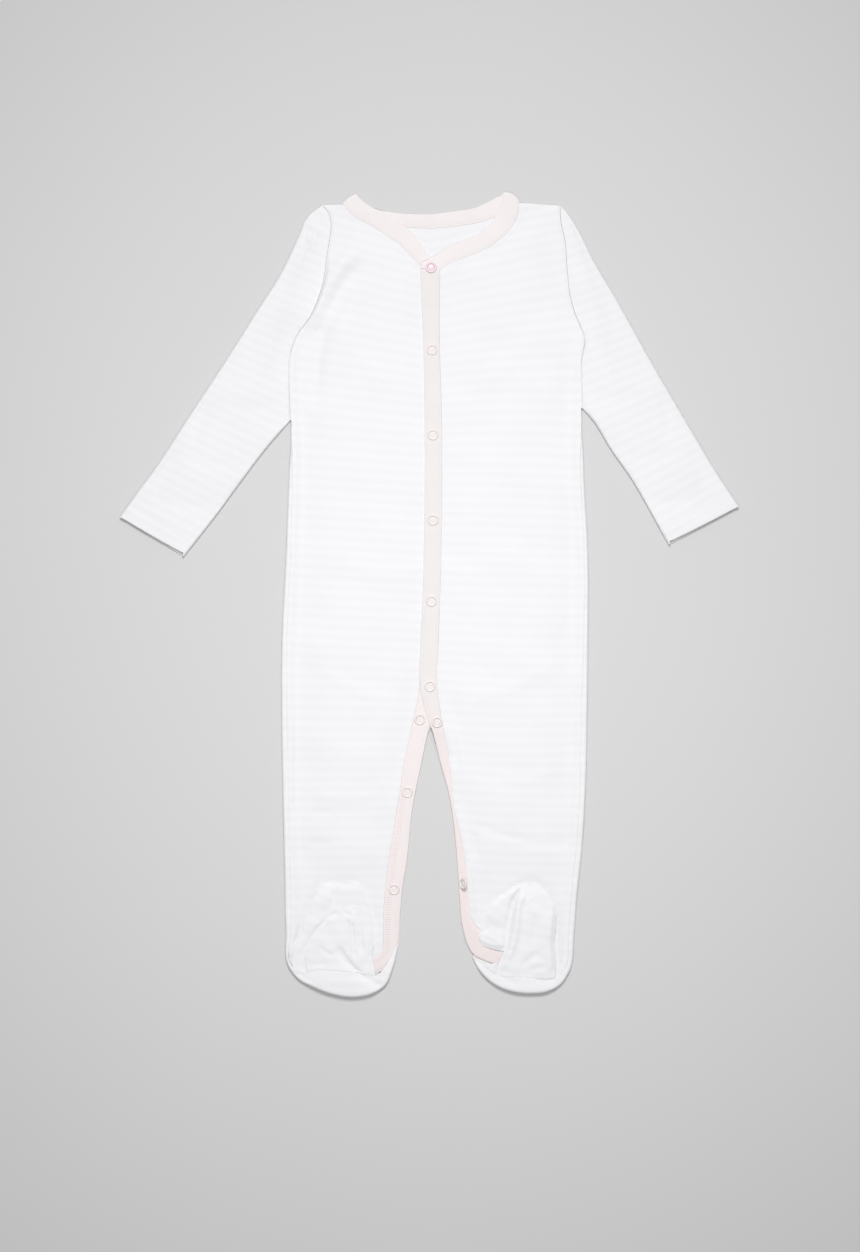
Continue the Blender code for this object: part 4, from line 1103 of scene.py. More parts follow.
def back_half(side):
    """One half of the back: rows from its outer edge to the centre or the inner leg."""
    arm, outline = armhole_stations(side), outline_stations(side)
    normals = to_centre(outline, side)
    neck = back_neck_line(side, -SEAM / 2)

    def down_centre(top, bottom, steps):
        heights = np.linspace(top, bottom, steps * FINE + 1)[1:]
        return np.column_stack([np.full(len(heights), CENTRE_X), heights])

    chest = down_centre(neck[-1][1], UNDERARM_Y, ARM_STEPS - BACK_NECK_STEPS)
    trunk = down_centre(UNDERARM_Y, LEG_BACK_SEAM[side][0].y + SEAM / 2, TRUNK_STEPS)
    ankle, heel_end = LEG_BACK_KNOTS[side]
    leg_seam = stations(LEG_BACK_SEAM[side], (ankle, LEG_STEPS * FINE), (heel_end, HEEL_FAN * FINE))
    leg = beside(leg_seam, side, -SEAM / 2)[1:]
    pivot = np.repeat(leg[-1:], (HEEL_STEPS - HEEL_FAN) * FINE, axis=0)
    inner = np.vstack([neck, chest, trunk, leg, pivot])
    edges = np.vstack([arm, outline[1:, :2]])
    # Rows run straight in along the armhole, and leave the side square to it
    blend = rise((np.arange(len(edges)) - len(arm) + FINE) / FINE)[:, None]
    squared = np.vstack([to_centre(arm, side), normals[1:]])
    towards = unit(np.vstack([(inner[:len(arm)] - arm), normals[1:]]))
    towards = unit(towards * (1 - blend) + squared * blend)
    degrees = by_step([0, ARM_STEPS, ARM_STEPS + 1, ARM_STEPS + 2, LAST], [0, 0, 90, 180, 180], len(edges))
    insets = np.concatenate([np.zeros(len(arm)), outline[1:, 2]])
    radii = np.concatenate([np.full(len(arm), ROLL_RADIUS), heel_radius(len(outline))[1:]])
    sections = np.stack([side_section(*row) for row in zip(degrees, radii, insets)])
    edge_part = edges[:, None] + sections[..., :1] * towards[:, None]
    floor = mix(edge_part[:, -1], inner, parts_of_one(BACK_COLUMNS) ** 1.1)
    plan = np.concatenate([edge_part, floor], axis=1)
    x, y = plan[..., 0], plan[..., 1]
    z = np.concatenate([sections[..., 1], np.full(floor.shape[:2], BACK_Z)], axis=1)
    top = np.clip((z - BACK_Z) / (2 * radii[:, None]), 0, 1)
    down = along_rows(plan)
    hem = np.linalg.norm(plan - plan[:, :1], axis=-1)
    on_top = np.zeros(z.shape)
    on_top[:, :HEM_STEPS + 3] = 1
    heel = rise((np.arange(len(edges)) - HEEL_ROW) / FINE)[:, None]
    # The heel is full of air, and the fold along the side is uneven
    reach = reach_along(heel_seam(side))
    ridge = np.zeros((len(edges), 1))
    first, last = (HEEL_ROW + step * FINE for step in SOLE_HEEL)
    ridge[first:last + 1, 0] = heel_swell(reach, reach[-1] - reach)
    z += top * (ridge + heel * 0.8 * rise(hem / 9) * np.clip(insets[:, None] / 20, 0, 1))
    z += top * 0.35 * swell(x, y, seed=31, longest=60) * (1 - heel)
    z += floor_lift(x, y) + top * upper_lift(x, y)
    z -= SEAM_DIP * fall(hem / SEAM_REACH) * top * on_top * (1 - heel)
    z += pucker(down[:, :1], hem, seed=33) * top * on_top * rise(hem / 2)
    z += 0.25 * fall(down / 3.0) * (1 - top)
    return np.stack([x, y, z], -1)


def sleeve_patch(side):
    """Sleeve laid flat: a tube whose rings run from the armhole to the cuff."""
    armhole = beside(armhole_stations(side, SLEEVE_ACROSS - 1), side, -ARM_GAP)
    armhole[-1] += (HAND[side] * SEAM, 0)
    shares = np.linspace(0, 1, SLEEVE_ACROSS)
    shoulder = stations(SHOULDER_FOLD[side], (-1, SLEEVE_RINGS))
    underarm = stations(UNDERARM_FOLD[side], (-1, SLEEVE_RINGS))
    away, below = -to_centre(shoulder, side), to_centre(underarm, side)
    along = np.linspace(0, 1, SLEEVE_RINGS + 1)
    flat = (FRONT_Z - BACK_Z) / 2
    radius = flat + (SLEEVE_RADIUS - flat) * rise(along / SLEEVE_EASE)
    bulge = np.clip(1 - along / CAP_LENGTH, 0, None) ** 2
    cap = armhole - mix(shoulder[:1], underarm[:1], shares)[0]
    layer = mix(shoulder, underarm, shares) + bulge[:, None, None] * cap
    # Rings leave the armhole square to it, and come back to their lines further down
    leave = SQUARE_OFF * np.tanh(along / 0.05) * fall(along / 0.75)
    from_body = -to_centre(armhole, side) * (np.sin(pi * shares) ** 2)[:, None]
    layer = layer + leave[:, None, None] * from_body
    half = CLOTH_WALL / 2 + 0.1
    down = unit(layer[:, 1] - layer[:, 0])
    up = unit(layer[:, -2] - layer[:, -1])
    eased = rise(along / 0.03)[:, None]
    first = layer[:, 0] + (radius + half)[:, None] * (down * (1 - eased) - away * eased)
    slant = 1 / (-(up * below).sum(1))
    last = layer[:, -1] + (radius * slant + half)[:, None] * up
    # Points between the two folds are drawn in evenly
    layer = layer + (first - layer[:, 0])[:, None] * fall(shares * SLEEVE_ACROSS / 4)[None, :, None]
    layer = layer + (last - layer[:, -1])[:, None] * fall((1 - shares) * SLEEVE_ACROSS / 4)[None, :, None]
    x, y = layer[..., 0], layer[..., 1]
    near = fall(np.minimum(shares, 1 - shares) * SLEEVE_ACROSS / 8)
    down_sleeve = along_rows(layer)
    from_cuff = down_sleeve[-1:] - down_sleeve
    seam = stations(ARMHOLE[side], (-1, READ_OFF))
    length = np.sqrt(((x[..., None] - seam[:, 0]) ** 2 + (y[..., None] - seam[:, 1]) ** 2).min(-1)) - ARM_GAP
    d_fold, d_under = from_edges(layer)
    lift = 0.5 * floor_lift(x, y)
    full = BACK_Z + 2 * SLEEVE_RADIUS - FRONT_Z
    upper = FRONT_Z + 0.75 * full * rise(length / 30)
    upper = upper * (1 - near) + (BACK_Z + 2 * radius[:, None]) * near
    fullness = rise(d_fold / 22) * rise(d_under / 22) * rise(length / 30)
    upper = upper + 1.3 * (fullness * (0.35 + 0.65 * rise(from_cuff / 60))) + lift
    upper += (sleeve_lift(x, y, side) * rise(length / 3) * (0.4 + 0.6 * rise(from_cuff / 20))
              * rise(d_fold / 4))
    upper -= SEAM_DIP * fall(length / SEAM_REACH) + ARMHOLE_DIP * fall(length / ARMHOLE_REACH)
    upper += 0.3 * SEAM_RIDGE * bell(length - 3.2, 1.3)
    upper += 0.6 * pucker(d_fold, length, seed=41) * rise(length / 2)
    upper = np.maximum(upper, BACK_Z + CLOTH_WALL + LAYER_GAP + lift)
    # Hem of the cuff, and the underarm seam just on top of its fold
    hem = fall((from_cuff - CUFF_HEM) / HEM_SLOPE)
    upper += 0.25 * hem - 0.35 * bell(from_cuff - HEM_STITCHES, 0.8)
    upper -= 0.5 * bell(d_under - 1.6, 0.8) * rise(length / 10)
    lower = BACK_Z + lift + 0.12 * (1 - near) * hem
    angles = np.radians(SHOULDER_TURN)
    under_fold = fold_round(layer[:, -1], -up * slant[:, None], radius, angles, lift[:, -1])
    over_fold = fold_round(layer[:, 0], away, radius, -angles, lift[:, 0])
    # The upper layer's hem draws back a little from the lower one's
    axis = unit(layer[-1] - layer[-2])
    drawn = -(0.5 + 2.0 * shares ** 2)[None, :, None] * axis[None] * fall(from_cuff / 14)[..., None]
    top_layer = np.dstack([layer + drawn, upper])
    low_layer = np.dstack([layer, lower])[:, ::-1]
    return np.concatenate([top_layer, under_fold, low_layer, over_fold, top_layer[:, :1]], axis=1)


def fold_round(point, outward, radius, angles, lift):
    """Points round a fold at the end of each row of a layer."""
    plan = point[:, None] + outward[:, None] * (radius[:, None] * np.cos(angles))[..., None]
    z = BACK_Z + radius[:, None] * (1 + np.sin(angles)) + lift[:, None]
    return np.dstack([plan, z])


SLEEVE_CREASES = {
    "right": table(
        Crease,
        ([(-103, 328), (-96, 321), (-88, 314.5)], 2.6, 3.4, 0.5),
        ([(-109, 317), (-100, 309), (-90, 302)], 2.8, 3.2, 0.5),
        ([(-109, 303), (-101, 297), (-92, 291)], 2.4, 2.0, 0.6),
        ([(-112, 268), (-130, 240), (-138, 205)], 6, 0.7),
        ([(-132, 262), (-150, 225), (-152, 190)], 5, 0.5, 0.7),
        ([(-128, 168), (-152, 160), (-178, 168)], 6, 0.6),
        ([(-190, 170), (-200, 140), (-196, 112)], 7, 0.6, 0.8),
        ([(-162, 112), (-190, 112), (-214, 122)], 6, 0.5),
        ([(-214, 128), (-232, 98), (-228, 66)], 6, 0.5),
        ([(-186, 78), (-208, 76), (-226, 82)], 5, 0.4),
    ),
    "left": table(
        Crease,
        ([(128, 296), (138, 262), (140, 228)], 6, 0.6),
        ([(146, 268), (156, 236), (154, 204)], 5, 0.5, 0.7),
        ([(138, 176), (160, 168), (184, 178)], 6, 0.6),
        ([(196, 180), (204, 150), (198, 122)], 7, 0.6, 0.8),
        ([(166, 122), (192, 118), (216, 128)], 6, 0.5),
        ([(222, 134), (234, 104), (228, 74)], 6, 0.5),
        ([(190, 84), (210, 80), (228, 86)], 5, 0.4),
    ),
}


def sleeve_lift(x, y, side):
    return 0.3 * swell(x, y, seed=7, longest=70) - crease_drop(x, y, SLEEVE_CREASES[side])


# Line down the middle of each sleeve, and how far its courses lean from square, by share of its length
SLEEVE_AXIS = {"right": (Plan(-104, 246), Plan(-239, 48)), "left": (Plan(121, 250), Plan(236, 58))}
COURSE_LEAN = {"right": (13, 11, 8, 7), "left": (13, 9, 4, 0)}


def sleeve_cut(ring, side):
    """Courses run round the sleeve, a little off square; the place across is measured round the ring."""
    start, end = (np.array(p) for p in SLEEVE_AXIS[side])
    axis = unit(end - start)
    square = np.array([axis[1], -axis[0]]) * HAND[side]
    offset = ring[..., :2] - start
    down, out = offset @ axis, offset @ square
    share = np.clip(down / np.linalg.norm(end - start), 0, 1)
    lean = np.radians(np.interp(share, (0, 0.33, 0.67, 1), COURSE_LEAN[side]))
    return np.stack([along_columns(ring), down + out * np.tan(lean)], -1)


# ---- bindings

STRIP_SHARES = np.array([0, 0.04, 0.09, 0.15, 0.22, 0.32, 0.43, 0.54, 0.65, 0.75, 0.83, 0.9, 0.95, 1])


def strip(edge, seam, z, crown=BINDING_CROWN, lines=(True, True)):
    """A binding from its free edge to its seam, softly crowned, with its topstitching pressed in."""
    edge, seam = np.asarray(edge, float), np.asarray(seam, float)
    width = np.linalg.norm(seam - edge, axis=1)[:, None]
    plan = mix(edge, seam, STRIP_SHARES)
    out = width * STRIP_SHARES
    within = width - out
    height = np.reshape(z, (-1, 1)) + crown * rise(out / 4) * rise(within / 4)
    height = height - BINDING_DIP * fall(within / BINDING_DIP_REACH) - 0.1 * fall(out / 1.2)
    for line, distance in zip(lines, (out, within)):
        if line:
            height = height - STITCH_DIP * bell(distance - STITCH_LINE, STITCH_WIDTH)
    return np.dstack([plan, np.maximum(height, BINDING_WALL / 2 + 0.01)])


def strip_cut(grid):
    """Place on the cut strip: across it, and along its middle."""
    length, across = along_rows(grid), along_columns(grid)
    middle = length[:, length.shape[1] // 2]
    return np.stack([across, np.broadcast_to(middle[:, None], across.shape)], -1)


def stitch_path(grid, distance, from_seam=True):
    """The line on a binding's top, that far from its seam or from its free edge."""
    width = np.linalg.norm(grid[:, -1] - grid[:, 0], axis=1)
    share = 1 - distance / width if from_seam else distance / width
    at = np.stack([[np.interp(s, STRIP_SHARES, column) for column in row.T] for s, row in zip(share, grid)])
    at[:, 2] += BINDING_WALL / 2 + 0.02
    return at


def neck_grid():
    """Neck binding: one strip, from its right end under the left one, round the back, to its left end."""
    seam = {side: beside(neck_stations(side), side, SEAM / 2) for side in HAND}
    edge = {side: stations(NECK_EDGE[side], (-1, NECK_STEPS * FINE)) for side in HAND}
    parts = []

    def add(edges, seams, z):
        edges, seams = np.atleast_2d(edges), np.atleast_2d(seams)
        parts.append((edges, seams, np.broadcast_to(z, len(edges))))

    share = np.linspace(0, 1, FINE // 2 + 1)[:-1]
    add(*(between(end, line["right"][-1], share) for end, line in zip(NECK_UNDER_END, (edge, seam))), FRONT_Z)
    add(edge["right"][::-1], seam["right"][::-1], FRONT_Z)
    for part in shoulder_turn("right", edge["right"][0], seam["right"][0], SHOULDER_TURN):
        add(*part)
    for side, order, rows in (("right", 1, slice(None)), ("left", -1, slice(1, None))):
        back_edge = stations(BACK_NECK_EDGE[side], (-1, BACK_NECK_STEPS * FINE))
        back_seam = back_neck_line(side, SEAM / 2)
        add(back_edge[::order][rows], back_seam[::order][rows], BINDING_FLOOR_Z)
    for part in shoulder_turn("left", edge["left"][0], seam["left"][0], SHOULDER_TURN[::-1]):
        add(*part)
    add(edge["left"], seam["left"], FRONT_Z + over_lift(len(edge["left"])))
    share = parts_of_one(STRIP_END_ROWS)
    for k, ends in enumerate(NECK_OVER_END):
        lines = [between(part[-1], end, share) for part, end in zip(parts[-1][:2], ends)]
        add(*lines, OVER_Z + 0.3 * (k + share))
    edges, seams, heights = (np.concatenate([part[k] for part in parts]) for k in range(3))
    seams[-STRIP_END_ROWS - 1:] -= (0, 0.7)
    grid = strip(edges, seams, heights, lines=(False, True))
    for side, bow in NECK_BOW.items():
        line = unit(seam[side][0] - edge[side][0])
        outward = HAND[side] * np.array([-line[1], line[0]])
        away = np.linalg.norm((edges + seams) / 2 - (edge[side][0] + seam[side][0]) / 2, axis=1)
        share = fall(away / 14)[:, None] * np.sin(pi * STRIP_SHARES) ** 0.8
        grid[..., :2] += bow * share[..., None] * outward
    return grid


def shoulder_turn(side, edge, seam, angles):
    """The strip turns from one layer to the other round the line from its edge to its seam."""
    radius = (FRONT_Z - BINDING_FLOOR_Z) / 2
    line = unit(seam - edge)
    outward = HAND[side] * np.array([-line[1], line[0]])
    for angle in map(radians, angles):
        shift = outward * radius * cos(angle)
        yield edge + shift, seam + shift, BINDING_FLOOR_Z + radius * (1 + sin(angle))


def under_grid():
    """Binding of the right front: under the other one on the chest, on top along the right leg."""
    seam = beside(front_seam_stations("right"), "right", SEAM / 2)
    edge = front_edge_stations("right")
    seam[0] -= (0, 2 * SEAM)
    edge[0] -= (0, 3 * SEAM)
    seam, edge = (turned_in(line, [end[k] for end in UNDER_END]) for k, line in enumerate((seam, edge)))
    crown = BINDING_CROWN * rise((SHOWS_Y - seam[:, 1]) / SHOWS_REACH)
    return strip(edge, seam, FRONT_Z, crown=crown[:, None])


def turned_in(line, ends):
    """The line goes on through its end points in one smooth curve."""
    last = stations([*line[-FINE::FINE - 1], *ends], (1, 1), (-1, 16))
    return np.vstack([line, last[2:]])


def over_grid():
    """Binding of the left front: on top down the chest, its free edge curled under along the left leg."""
    seam = beside(front_seam_stations("left"), "left", SEAM / 2)
    edge = front_edge_stations("left")
    seam[0] += (0, CLOSED)
    edge[0] += (0, 2 * CLOSED)
    seam, edge = (turned_in(line, [end[k] for end in OVER_END]) for k, line in enumerate((seam, edge)))
    heights = FRONT_Z + over_lift(len(seam), NECK_STEPS)
    flat = strip(edge, seam, heights)
    first = ARM_STEPS - NECK_STEPS + TRUNK_STEPS + 1
    degrees = by_step([0, first, first + 1, first + 2, LAST], [0, 0, 90, 180, 180], len(seam))
    inward = unit(seam - edge)
    radius = (FRONT_Z - BINDING_FLOOR_Z) / 2
    rows = []
    for k, angle in enumerate(np.radians(degrees)):
        if degrees[k] < 4:
            rows.append(flat[k])
            continue
        most, inwards, drop = rolled(radius, angle, CURL_POINTS)
        curl = np.column_stack([edge[k] + (most - inwards)[:, None] * inward[k], heights[k] - drop])
        rest = between(curl[-1, :2], seam[k], parts_of_one(len(STRIP_SHARES) - CURL_POINTS))
        out = np.linalg.norm(rest - seam[k], axis=1)
        z = heights[k] + 0.5 * BINDING_CROWN * rise(out / 4) * rise((out[0] - out) / 3)
        z = z - BINDING_DIP * fall(out / BINDING_DIP_REACH)
        z = z - STITCH_DIP * bell(out - STITCH_LINE, STITCH_WIDTH)
        rows.append(np.vstack([curl, np.column_stack([rest, z])]))
    return np.stack(rows)


def back_binding_grid():
    """One strip along the back's inner legs, round the crotch, flat on the floor."""
    halves = {}
    share = parts_of_one(STRIP_END_ROWS)
    for side in HAND:
        ankle, _ = LEG_BACK_KNOTS[side]
        seam = beside(stations(LEG_BACK_SEAM[side], (ankle, LEG_STEPS * FINE)), side, SEAM / 2)
        seam[0] = (CENTRE_X, LEG_BACK_SEAM[side][0].y - SEAM / 2)
        edge = stations(LEG_BACK_EDGE[side], (-1, LEG_STEPS * FINE))
        end_seam, end_edge = LEG_BACK_END[side]
        halves[side] = [np.vstack([line, between(line[-1], end, share)])
                        for line, end in ((edge, end_edge), (seam, end_seam))]
    edge, seam = (np.vstack([right[::-1], left[1:]]) for right, left in zip(halves["right"], halves["left"]))
    return strip(edge, seam, BINDING_FLOOR_Z, crown=0.1)


# ---- feet

SOLE_CREASES = {
    "right": table(
        Crease,
        ([(-107.7, -318.2), (-98, -317.6), (-87, -316)], 2.4, 0.4),
        ([(-96, -300), (-91, -305), (-85, -308.6), (-80, -311)], 2.6, 0.6),
        ([(-80, -300), (-74, -309.8), (-68, -317), (-62, -323), (-54, -329)], 2.4, 1.4, 1.7),
        ([(-70.5, -277), (-70, -294), (-69, -309)], 1.6, 0.9),
        ([(-66.3, -280), (-65.6, -296), (-64, -312)], 1.4, 0.8),
        ([(-60.9, -262), (-60, -280), (-58, -309)], 1.7, 1.0),
        ([(-82, -263.5), (-70.5, -264), (-59, -266)], 1.5, 0.4),
        ([(-66.3, -247), (-65.7, -257)], 1.0, 1.0),
        ([(-61, -247), (-60.5, -253), (-59, -258)], 1.0, 0.9),
        ([(-76, -268), (-72, -273), (-66, -275)], 1.4, 0.45),
        ([(-68, -270.5), (-61, -270), (-55, -266)], 1.4, 0.4),
        ([(-76.5, -272.4), (-82.5, -274.3), (-88.5, -278.5), (-95, -285)], 2.0, 0.7),
        ([(-84, -248), (-76, -248.5), (-70, -251)], 1.8, 0.5),
        ([(-98, -288), (-90, -281), (-80, -275)], 4.0, -0.4),
        ([(-66, -322), (-60, -314), (-56, -305)], 4.0, -0.6),
    ),
    "left": table(
        Crease,
        ([(83, -252), (78, -262), (75.5, -275), (74, -290), (71, -303), (65, -314)], 3.0, -1.5),
        ([(97, -306), (90, -309.8), (85, -313.4), (78, -318)], 3.4, 0.8),
        ([(85, -262), (90, -264), (96, -265)], 3.0, 0.6),
        ([(102, -268), (103, -282), (102.5, -300)], 3.5, -0.5),
        ([(92, -272), (91, -290), (88, -304)], 4.5, 0.5),
        ([(104, -318), (94, -320), (84, -323)], 2.6, 0.5),
        ([(72, -300), (66, -309), (58, -318)], 2.6, 0.8),
    ),
}
UPPER_FOOT_CREASES = {
    "right": table(
        Crease,
        ([(-88.5, -277), (-94.5, -284.5), (-100.5, -294), (-106, -304), (-109, -312)], 2.2, 0.8, 0.7),
    ),
    "left": table(
        Crease,
        ([(79, -251), (72, -262), (68.4, -275), (66.4, -288), (64, -300)], 2.4, 1.5),
        ([(44, -292), (52, -297), (60, -300)], 2.0, 0.5),
        ([(48, -276), (56, -285), (62, -292)], 3.0, 0.35),
    ),
}
# How much higher the upper's edge at the heel is on its inner side, and how late it rises
UPPER_SKEW = {"right": (15.0, 1), "left": (6.0, 5)}
UPPER_RISE = {"right": 1.2, "left": 1.5}  # air under the upper, and under the sole
SOLE_RISE = {"right": 0.7, "left": 1.6}
SOLE_ROUND = {"right": 12.0, "left": 4.8}  # how far in from its edges each sole reaches its full height
TOE_SLOPE = {"right": 44.0, "left": 32.0}  # how far from its toe it reaches its full height
TOE_DROP = {"right": 50.0, "left": 19.0}  # how far from its toe its end slopes down onto the upper
FLUSH_RISE = 0.35  # lift of the right sole's edge where it is flush with its upper
SOLE_ACROSS = 90  # points across a sole and an upper, and rows from heel to toe
SOLE_ROWS = 100
SOLE_HEEL_ROWS = 16  # and rows that close in on the heel's seam
UPPER_ACROSS = 60
UPPER_ROWS = 90
FOOT_GAP = 0.05  # between the layers of a foot
FOOT_COURSES = {"right": (0.03, 1.0), "left": (0.21, 0.98)}  # direction of the courses, up and across
UPPER_TURN = 0.35  # of the upper's courses from the sole's, radians
HEEL_DIP_Y = -306  # below this the right upper's outer edge goes down
FLAT_Y = -314  # and below this it lies flat


def foot_walls(toe, out, share=0.0):
    """A foot's cloth is drawn thinner towards its toe, and by the share towards its outer edge."""
    return CLOTH_WALL * (1 - np.clip(0.85 * fall(toe / 8) + share * fall(out / 5), 0, 0.85))


def flush(side, y):
    """Near the right toe the sole's outer edge is flush with the upper: 1 there."""
    return rise((y - FLUSH_Y) / FLUSH_REACH) if side == "right" else np.zeros(np.shape(y))


def foot_plan(knots, rows, across):
    """A foot's layer from its heel to its toe, seen from above."""
    line = stations(knots, (-1, rows))
    return mix(line[:, [1, 0]], line[:, [2, 0]], np.linspace(0, 1, across))


def upper_level(toe):
    """Height of the middle of the upper's wall, without its folds."""
    return OVER_Z - FOOT_GAP - 0.6 * fall(toe / 9)


def clear_of_front(side, x, y, walls):
    """The least height of the middle of a wall that lies on the front."""
    return front_level(side, x, y) + CLOTH_WALL / 2 + FOOT_GAP + walls / 2


def sole_patch(side):
    """Sole, facing up: its first row follows the heel seam and the rest close in to the toe."""
    seam = heel_seam(side)
    seam = read_rows(seam, np.linspace(0, len(seam) - 1, SOLE_ACROSS))
    plain = foot_plan(SOLE[side], SOLE_ROWS, SOLE_ACROSS)
    share = np.linspace(0, 1, SOLE_HEEL_ROWS + 1)[:-1, None, None]
    heel = seam[None] * (1 - share) + plain[:1] * share
    plan = np.concatenate([heel, plain])
    x, y = plan[..., 0], plan[..., 1]
    out, within = from_edges(plan)
    length = along_rows(plan)
    toe = length[-1:] - length
    sides = rise((length - 2) / 10)
    even = flush(side, y)
    walls = foot_walls(toe, out, 0.8 * even)
    swollen = heel_swell(out, within)
    ends, slope = SOLE_ROUND[side], TOE_SLOPE[side]
    full = SOLE_RISE[side] * rise(out / ends) * rise(within / ends) * rise(toe / slope)
    z = SOLE_Z + swollen + rise(length / 12) * (full - swollen)
    z -= 0.5 * (fall(out / 2.6) * (1 - even) + fall(within / 2.6)) * sides + 1.2 * fall(toe / TOE_DROP[side])
    z += even * FLUSH_RISE * fall(out / 10) * rise(toe / 14)
    z += (0.22 * swell(x, y, seed=51, longest=30) * rise(out / 6) * rise(within / 6)
          * rise(toe / 6) * rise(length / 6))
    z -= crease_drop(x, y, SOLE_CREASES[side]) * rise((length + 1) / 3)
    upper_wall = foot_walls(toe, out)
    upper_top = np.maximum(upper_level(toe), clear_of_front(side, x, y, upper_wall)) + upper_wall / 2
    z = np.maximum(z, upper_top + FOOT_GAP + walls / 2)
    return np.stack([x, y, z], -1), walls


def upper_patch(side):
    """Foot upper, between the shin and the sole."""
    shares = np.linspace(0, 1, UPPER_ACROSS)
    plan = foot_plan(UPPER[side], UPPER_ROWS, UPPER_ACROSS)
    most, power = UPPER_SKEW[side]
    plan[..., 1] += most * shares ** power * fall((plan[..., 1] - UPPER[side][0].y) / 24)
    x, y = plan[..., 0], plan[..., 1]
    out, within = from_edges(plan)
    length = along_rows(plan)
    toe = length[-1:] - length
    walls = foot_walls(toe, out, 0.5)
    # Its folds only rise where it isn't under the sole
    hand, sole = HAND[side], np.array(SOLE[side])
    outside = hand * (x - np.interp(y, sole[:, 0], sole[:, 1])) + 5 * flush(side, y)
    inside = hand * (np.interp(y, sole[:, 0], sole[:, 2]) - x)
    clear = np.maximum(rise((outside - 0.5) / 4), rise((inside - 0.5) / 4))
    z = upper_level(toe)
    if side == "right":
        z = z - 0.5 * fall(out / 6) * rise((HEEL_DIP_Y - y) / 8)
        clear = clear * rise((y - FLAT_Y) / 24)
    else:
        clear = clear * rise((length + 1) / 8)
    z = z + clear * (UPPER_RISE[side] * rise(out / 7) * rise(within / 7) * rise(toe / 14)
                     + 0.25 * swell(x, y, seed=61, longest=30) - crease_drop(x, y, UPPER_FOOT_CREASES[side]))
    z = np.maximum(z, clear_of_front(side, x, y, walls))
    return np.stack([x, y, z], -1), walls


def foot_cut(grid, side, turn=0.0):
    """Place on the flat cloth, whose courses may be turned, in radians."""
    across, along = FOOT_COURSES[side]
    x, y = grid[..., 0], grid[..., 1]
    u, v = x * along - y * across, x * across + y * along
    return np.stack([u * cos(turn) - v * sin(turn), u * sin(turn) + v * cos(turn)], -1)


# ---- snaps

# Section of a ring, out from the middle of its wall and up
RING_PROFILE = [(-1.0, -0.5), (-1.0, -0.1), (-0.8, 0.28), (-0.35, 0.56), (0.2, 0.6), (0.6, 0.35),
                (0.82, -0.1), (0.82, -0.5)]
RING_HALF_WALL = 1.0
RING_SIDES = 48
CAP_RINGS = 8
CAP_EDGE_Z = -0.75  # the cap of cloth in its middle: where it begins, and how high it domes
CAP_DOME = 0.62
SNAP_LIFT = 1.35  # from the middle of the cloth's wall
SNAP_TILT_LIFT = 0.75  # share of its radius that a ring on its side stands higher


def turned_rings(profile):
    """Points of a turned shape, ring by ring, and its faces."""
    turns = np.arange(RING_SIDES) * 2 * pi / RING_SIDES
    radius, z = np.array(profile).T
    points = np.stack([radius[:, None] * np.cos(turns), radius[:, None] * np.sin(turns),
                       np.repeat(z[:, None], RING_SIDES, 1)], -1).reshape(-1, 3)
    return points, quads(len(profile), RING_SIDES, closed=True)[:, [0, 3, 2, 1]]


def make_snap(snap, radius, enamel, knit):
    """A ring pressed through the binding, whose knit domes up in its open middle."""
    ring, ring_faces = turned_rings([(radius + r, z) for r, z in [*RING_PROFILE, RING_PROFILE[0]]][::-1])
    bore = radius - RING_HALF_WALL
    cap = [(bore * sin(t), CAP_EDGE_Z + CAP_DOME * cos(t)) for t in np.linspace(0, pi / 2, CAP_RINGS + 1)][1:]
    dome, dome_faces = turned_rings([(0.02, -0.13), *cap, (bore, -1.0)])
    points = np.concatenate([ring, dome])
    faces = np.concatenate([ring_faces, dome_faces[:, ::-1] + len(ring)])
    turn = radians(snap.turn)
    x, z = points[:, 0].copy(), points[:, 2].copy()
    points[:, 0], points[:, 2] = x * cos(turn) - z * sin(turn), x * sin(turn) + z * cos(turn)
    lift = SNAP_LIFT + SNAP_TILT_LIFT * radius * abs(sin(turn))
    points = points + (snap.x, snap.y, snap.layer_z + lift)
    cuts = points[faces][..., :2]
    # The neck's ring shows its enamel over its whole middle
    finish_of = [0] * len(ring_faces) + [int(snap is not SNAPS[0])] * len(dome_faces)
    piece = mesh_object(f"{snap.name}_ring", points, faces, cuts, [enamel, knit], finish_of)
    return hand_in(piece, "snap_enamel", snap.name)


# ---- operators

# Stitches, and the looper's threads that cross between them; the looper's darker tone is painted shade round
# its threads
THREAD_TONES = {"spun_thread": "#f4e8e5", "spun_thread_looper": "#ead8d7"}


def found(make, name, *details):
    """The material of that name, made once."""
    return bpy.data.materials.get(name) or make(name, *details)


def knit_finish(scene):
    return found(interlock_cotton, "interlock_cotton_striped", scene.sleepsuit_knit)


def binding_finish(scene, name, tone, *turning):
    """A binding's cotton, in one of the tones of the settings."""
    return found(binding_knit, name, getattr(scene.sleepsuit_binding, tone), *turning)


def thread_finish(name="spun_thread"):
    return found(spun_thread, name, linear(THREAD_TONES[name]))


class SLEEPSUIT_OT_back(Operator):
    """Back panel with both leg backs and heels"""
    bl_idname = "sleepsuit.add_back"
    bl_label = "Back"

    def execute(self, context):
        right, left = back_half("right"), back_half("left")[:, ::-1]
        patches = [(grid, body_cut(grid)) for grid in (right, left)]
        piece = cloth("back_panel", patches, CLOTH_WALL, [knit_finish(context.scene)], soft=SEWN_RIM)
        hand_in(piece, "striped_knit", "back")
        return {"FINISHED"}


